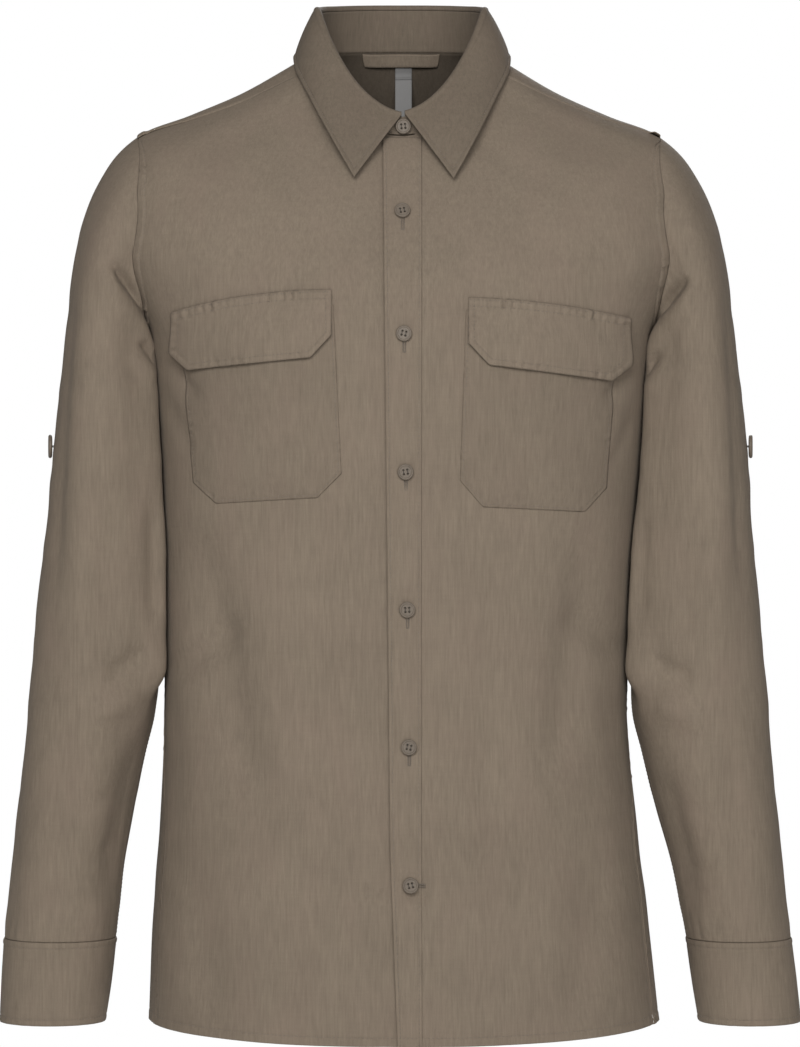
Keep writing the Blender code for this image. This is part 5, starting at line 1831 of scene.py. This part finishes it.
Lamp = namedtuple("Lamp", "name place aim width height power")
LAMPS = (
    Lamp("key_light", (-0.45, -3.3, 1.0), (0, 0, -0.3), 1.5, 1.3, 78),
    Lamp("fill_light", (0.9, -3.2, 0.2), (0, 0, -0.45), 1.3, 1.6, 26),
    Lamp("back_light", (0.6, 3.0, 1.3), (0, 0, -0.3), 1.6, 1.4, 60),
)


class SHIRT_OT_stage(bpy.types.Operator):
    """Pale floor, soft studio light and the camera"""

    bl_idname = "shirt.stage"
    bl_label = "Stage"

    def execute(self, context):
        scene = context.scene
        corners = [(-FLOOR_HALF_WIDTH, FLOOR_FRONT), (FLOOR_HALF_WIDTH, FLOOR_FRONT),
                   (FLOOR_HALF_WIDTH, FLOOR_BACK), (-FLOOR_HALF_WIDTH, FLOOR_BACK)]
        mesh = joined_mesh("floor", [(x, y, FLOOR_Z) for x, y in corners], [(0, 1, 2, 3)])
        graph = Graph("pale_floor")
        place = graph.node("ShaderNodeTexCoord", {}, {}, "Object")
        cloud = graph.noise(place, 3.0, 2.0)
        colour = scene.shirt_colours.floor
        base = graph.tinted(cloud, scaled(colour, 0.98), scaled(colour, 1.02))
        mesh.materials.append(graph.finish({"Base Color": base, "Roughness": 0.85}))
        floor = bpy.data.objects.new("floor", mesh)
        scene.collection.objects.link(floor)
        world = bpy.data.worlds.new("studio")
        world.use_nodes = True
        sky = world.node_tree.nodes["Background"]
        path = world.node_tree.nodes.new("ShaderNodeLightPath")
        mix = world.node_tree.nodes.new("ShaderNodeMix")
        mix.inputs[2].default_value = ROOM_LIGHT
        mix.inputs[3].default_value = 1.0
        world.node_tree.links.new(path.outputs["Is Camera Ray"], mix.inputs[0])
        world.node_tree.links.new(mix.outputs[0], sky.inputs["Strength"])
        sky.inputs["Color"].default_value = (1, 1, 1, 1)
        scene.world = world
        scene.view_settings.view_transform = "Standard"
        for lamp in LAMPS:
            light = bpy.data.lights.new(lamp.name, "AREA")
            light.shape = "RECTANGLE"
            light.size = lamp.width
            light.size_y = lamp.height
            light.energy = lamp.power
            item = bpy.data.objects.new(lamp.name, light)
            item.location = lamp.place
            aim = Vector(lamp.aim) - Vector(lamp.place)
            item.rotation_euler = aim.to_track_quat("-Z", "Y").to_euler()
            scene.collection.objects.link(item)
        camera = bpy.data.cameras.new("photo_camera")
        camera.sensor_fit = "VERTICAL"
        camera.sensor_height = SENSOR
        camera.lens = SENSOR * CAMERA_DISTANCE / FRAME_HEIGHT
        item = bpy.data.objects.new("photo_camera", camera)
        item.location = (CAMERA_X, -CAMERA_DISTANCE, CAMERA_HEIGHT)
        item.rotation_euler = (math.pi / 2, 0, 0)
        scene.collection.objects.link(item)
        scene.camera = item
        return {"FINISHED"}


OPERATORS = (
    SHIRT_OT_fronts, SHIRT_OT_back, SHIRT_OT_yoke, SHIRT_OT_sleeves, SHIRT_OT_cuffs, SHIRT_OT_collar,
    SHIRT_OT_placket, SHIRT_OT_pockets, SHIRT_OT_neck_trims, SHIRT_OT_front_buttons,
    SHIRT_OT_sleeve_buttons, SHIRT_OT_stage,
)


class SHIRT_PT_panel(bpy.types.Panel):
    """Lists the shirt's pieces and sizes"""

    bl_idname = "SHIRT_PT_panel"
    bl_label = "Safari shirt"
    bl_space_type = "VIEW_3D"
    bl_region_type = "UI"
    bl_category = "Shirt"

    def draw(self, context):
        layout = self.layout
        for group in (context.scene.shirt_sizes, context.scene.shirt_colours):
            for name in group.__annotations__:
                layout.prop(group, name)
        for operator in OPERATORS:
            layout.operator(operator.bl_idname)


CLASSES = (ShirtSizes, ShirtColours, *OPERATORS, SHIRT_PT_panel)


def register():
    for item in CLASSES:
        bpy.utils.register_class(item)
    bpy.types.Scene.shirt_sizes = bpy.props.PointerProperty(type=ShirtSizes)
    bpy.types.Scene.shirt_colours = bpy.props.PointerProperty(type=ShirtColours)


def unregister():
    del bpy.types.Scene.shirt_sizes
    del bpy.types.Scene.shirt_colours
    for item in reversed(CLASSES):
        bpy.utils.unregister_class(item)


def main():
    register()
    for operator in OPERATORS:
        group, name = operator.bl_idname.split(".")
        getattr(getattr(bpy.ops, group), name)()


if __name__ == "__main__":
    main()
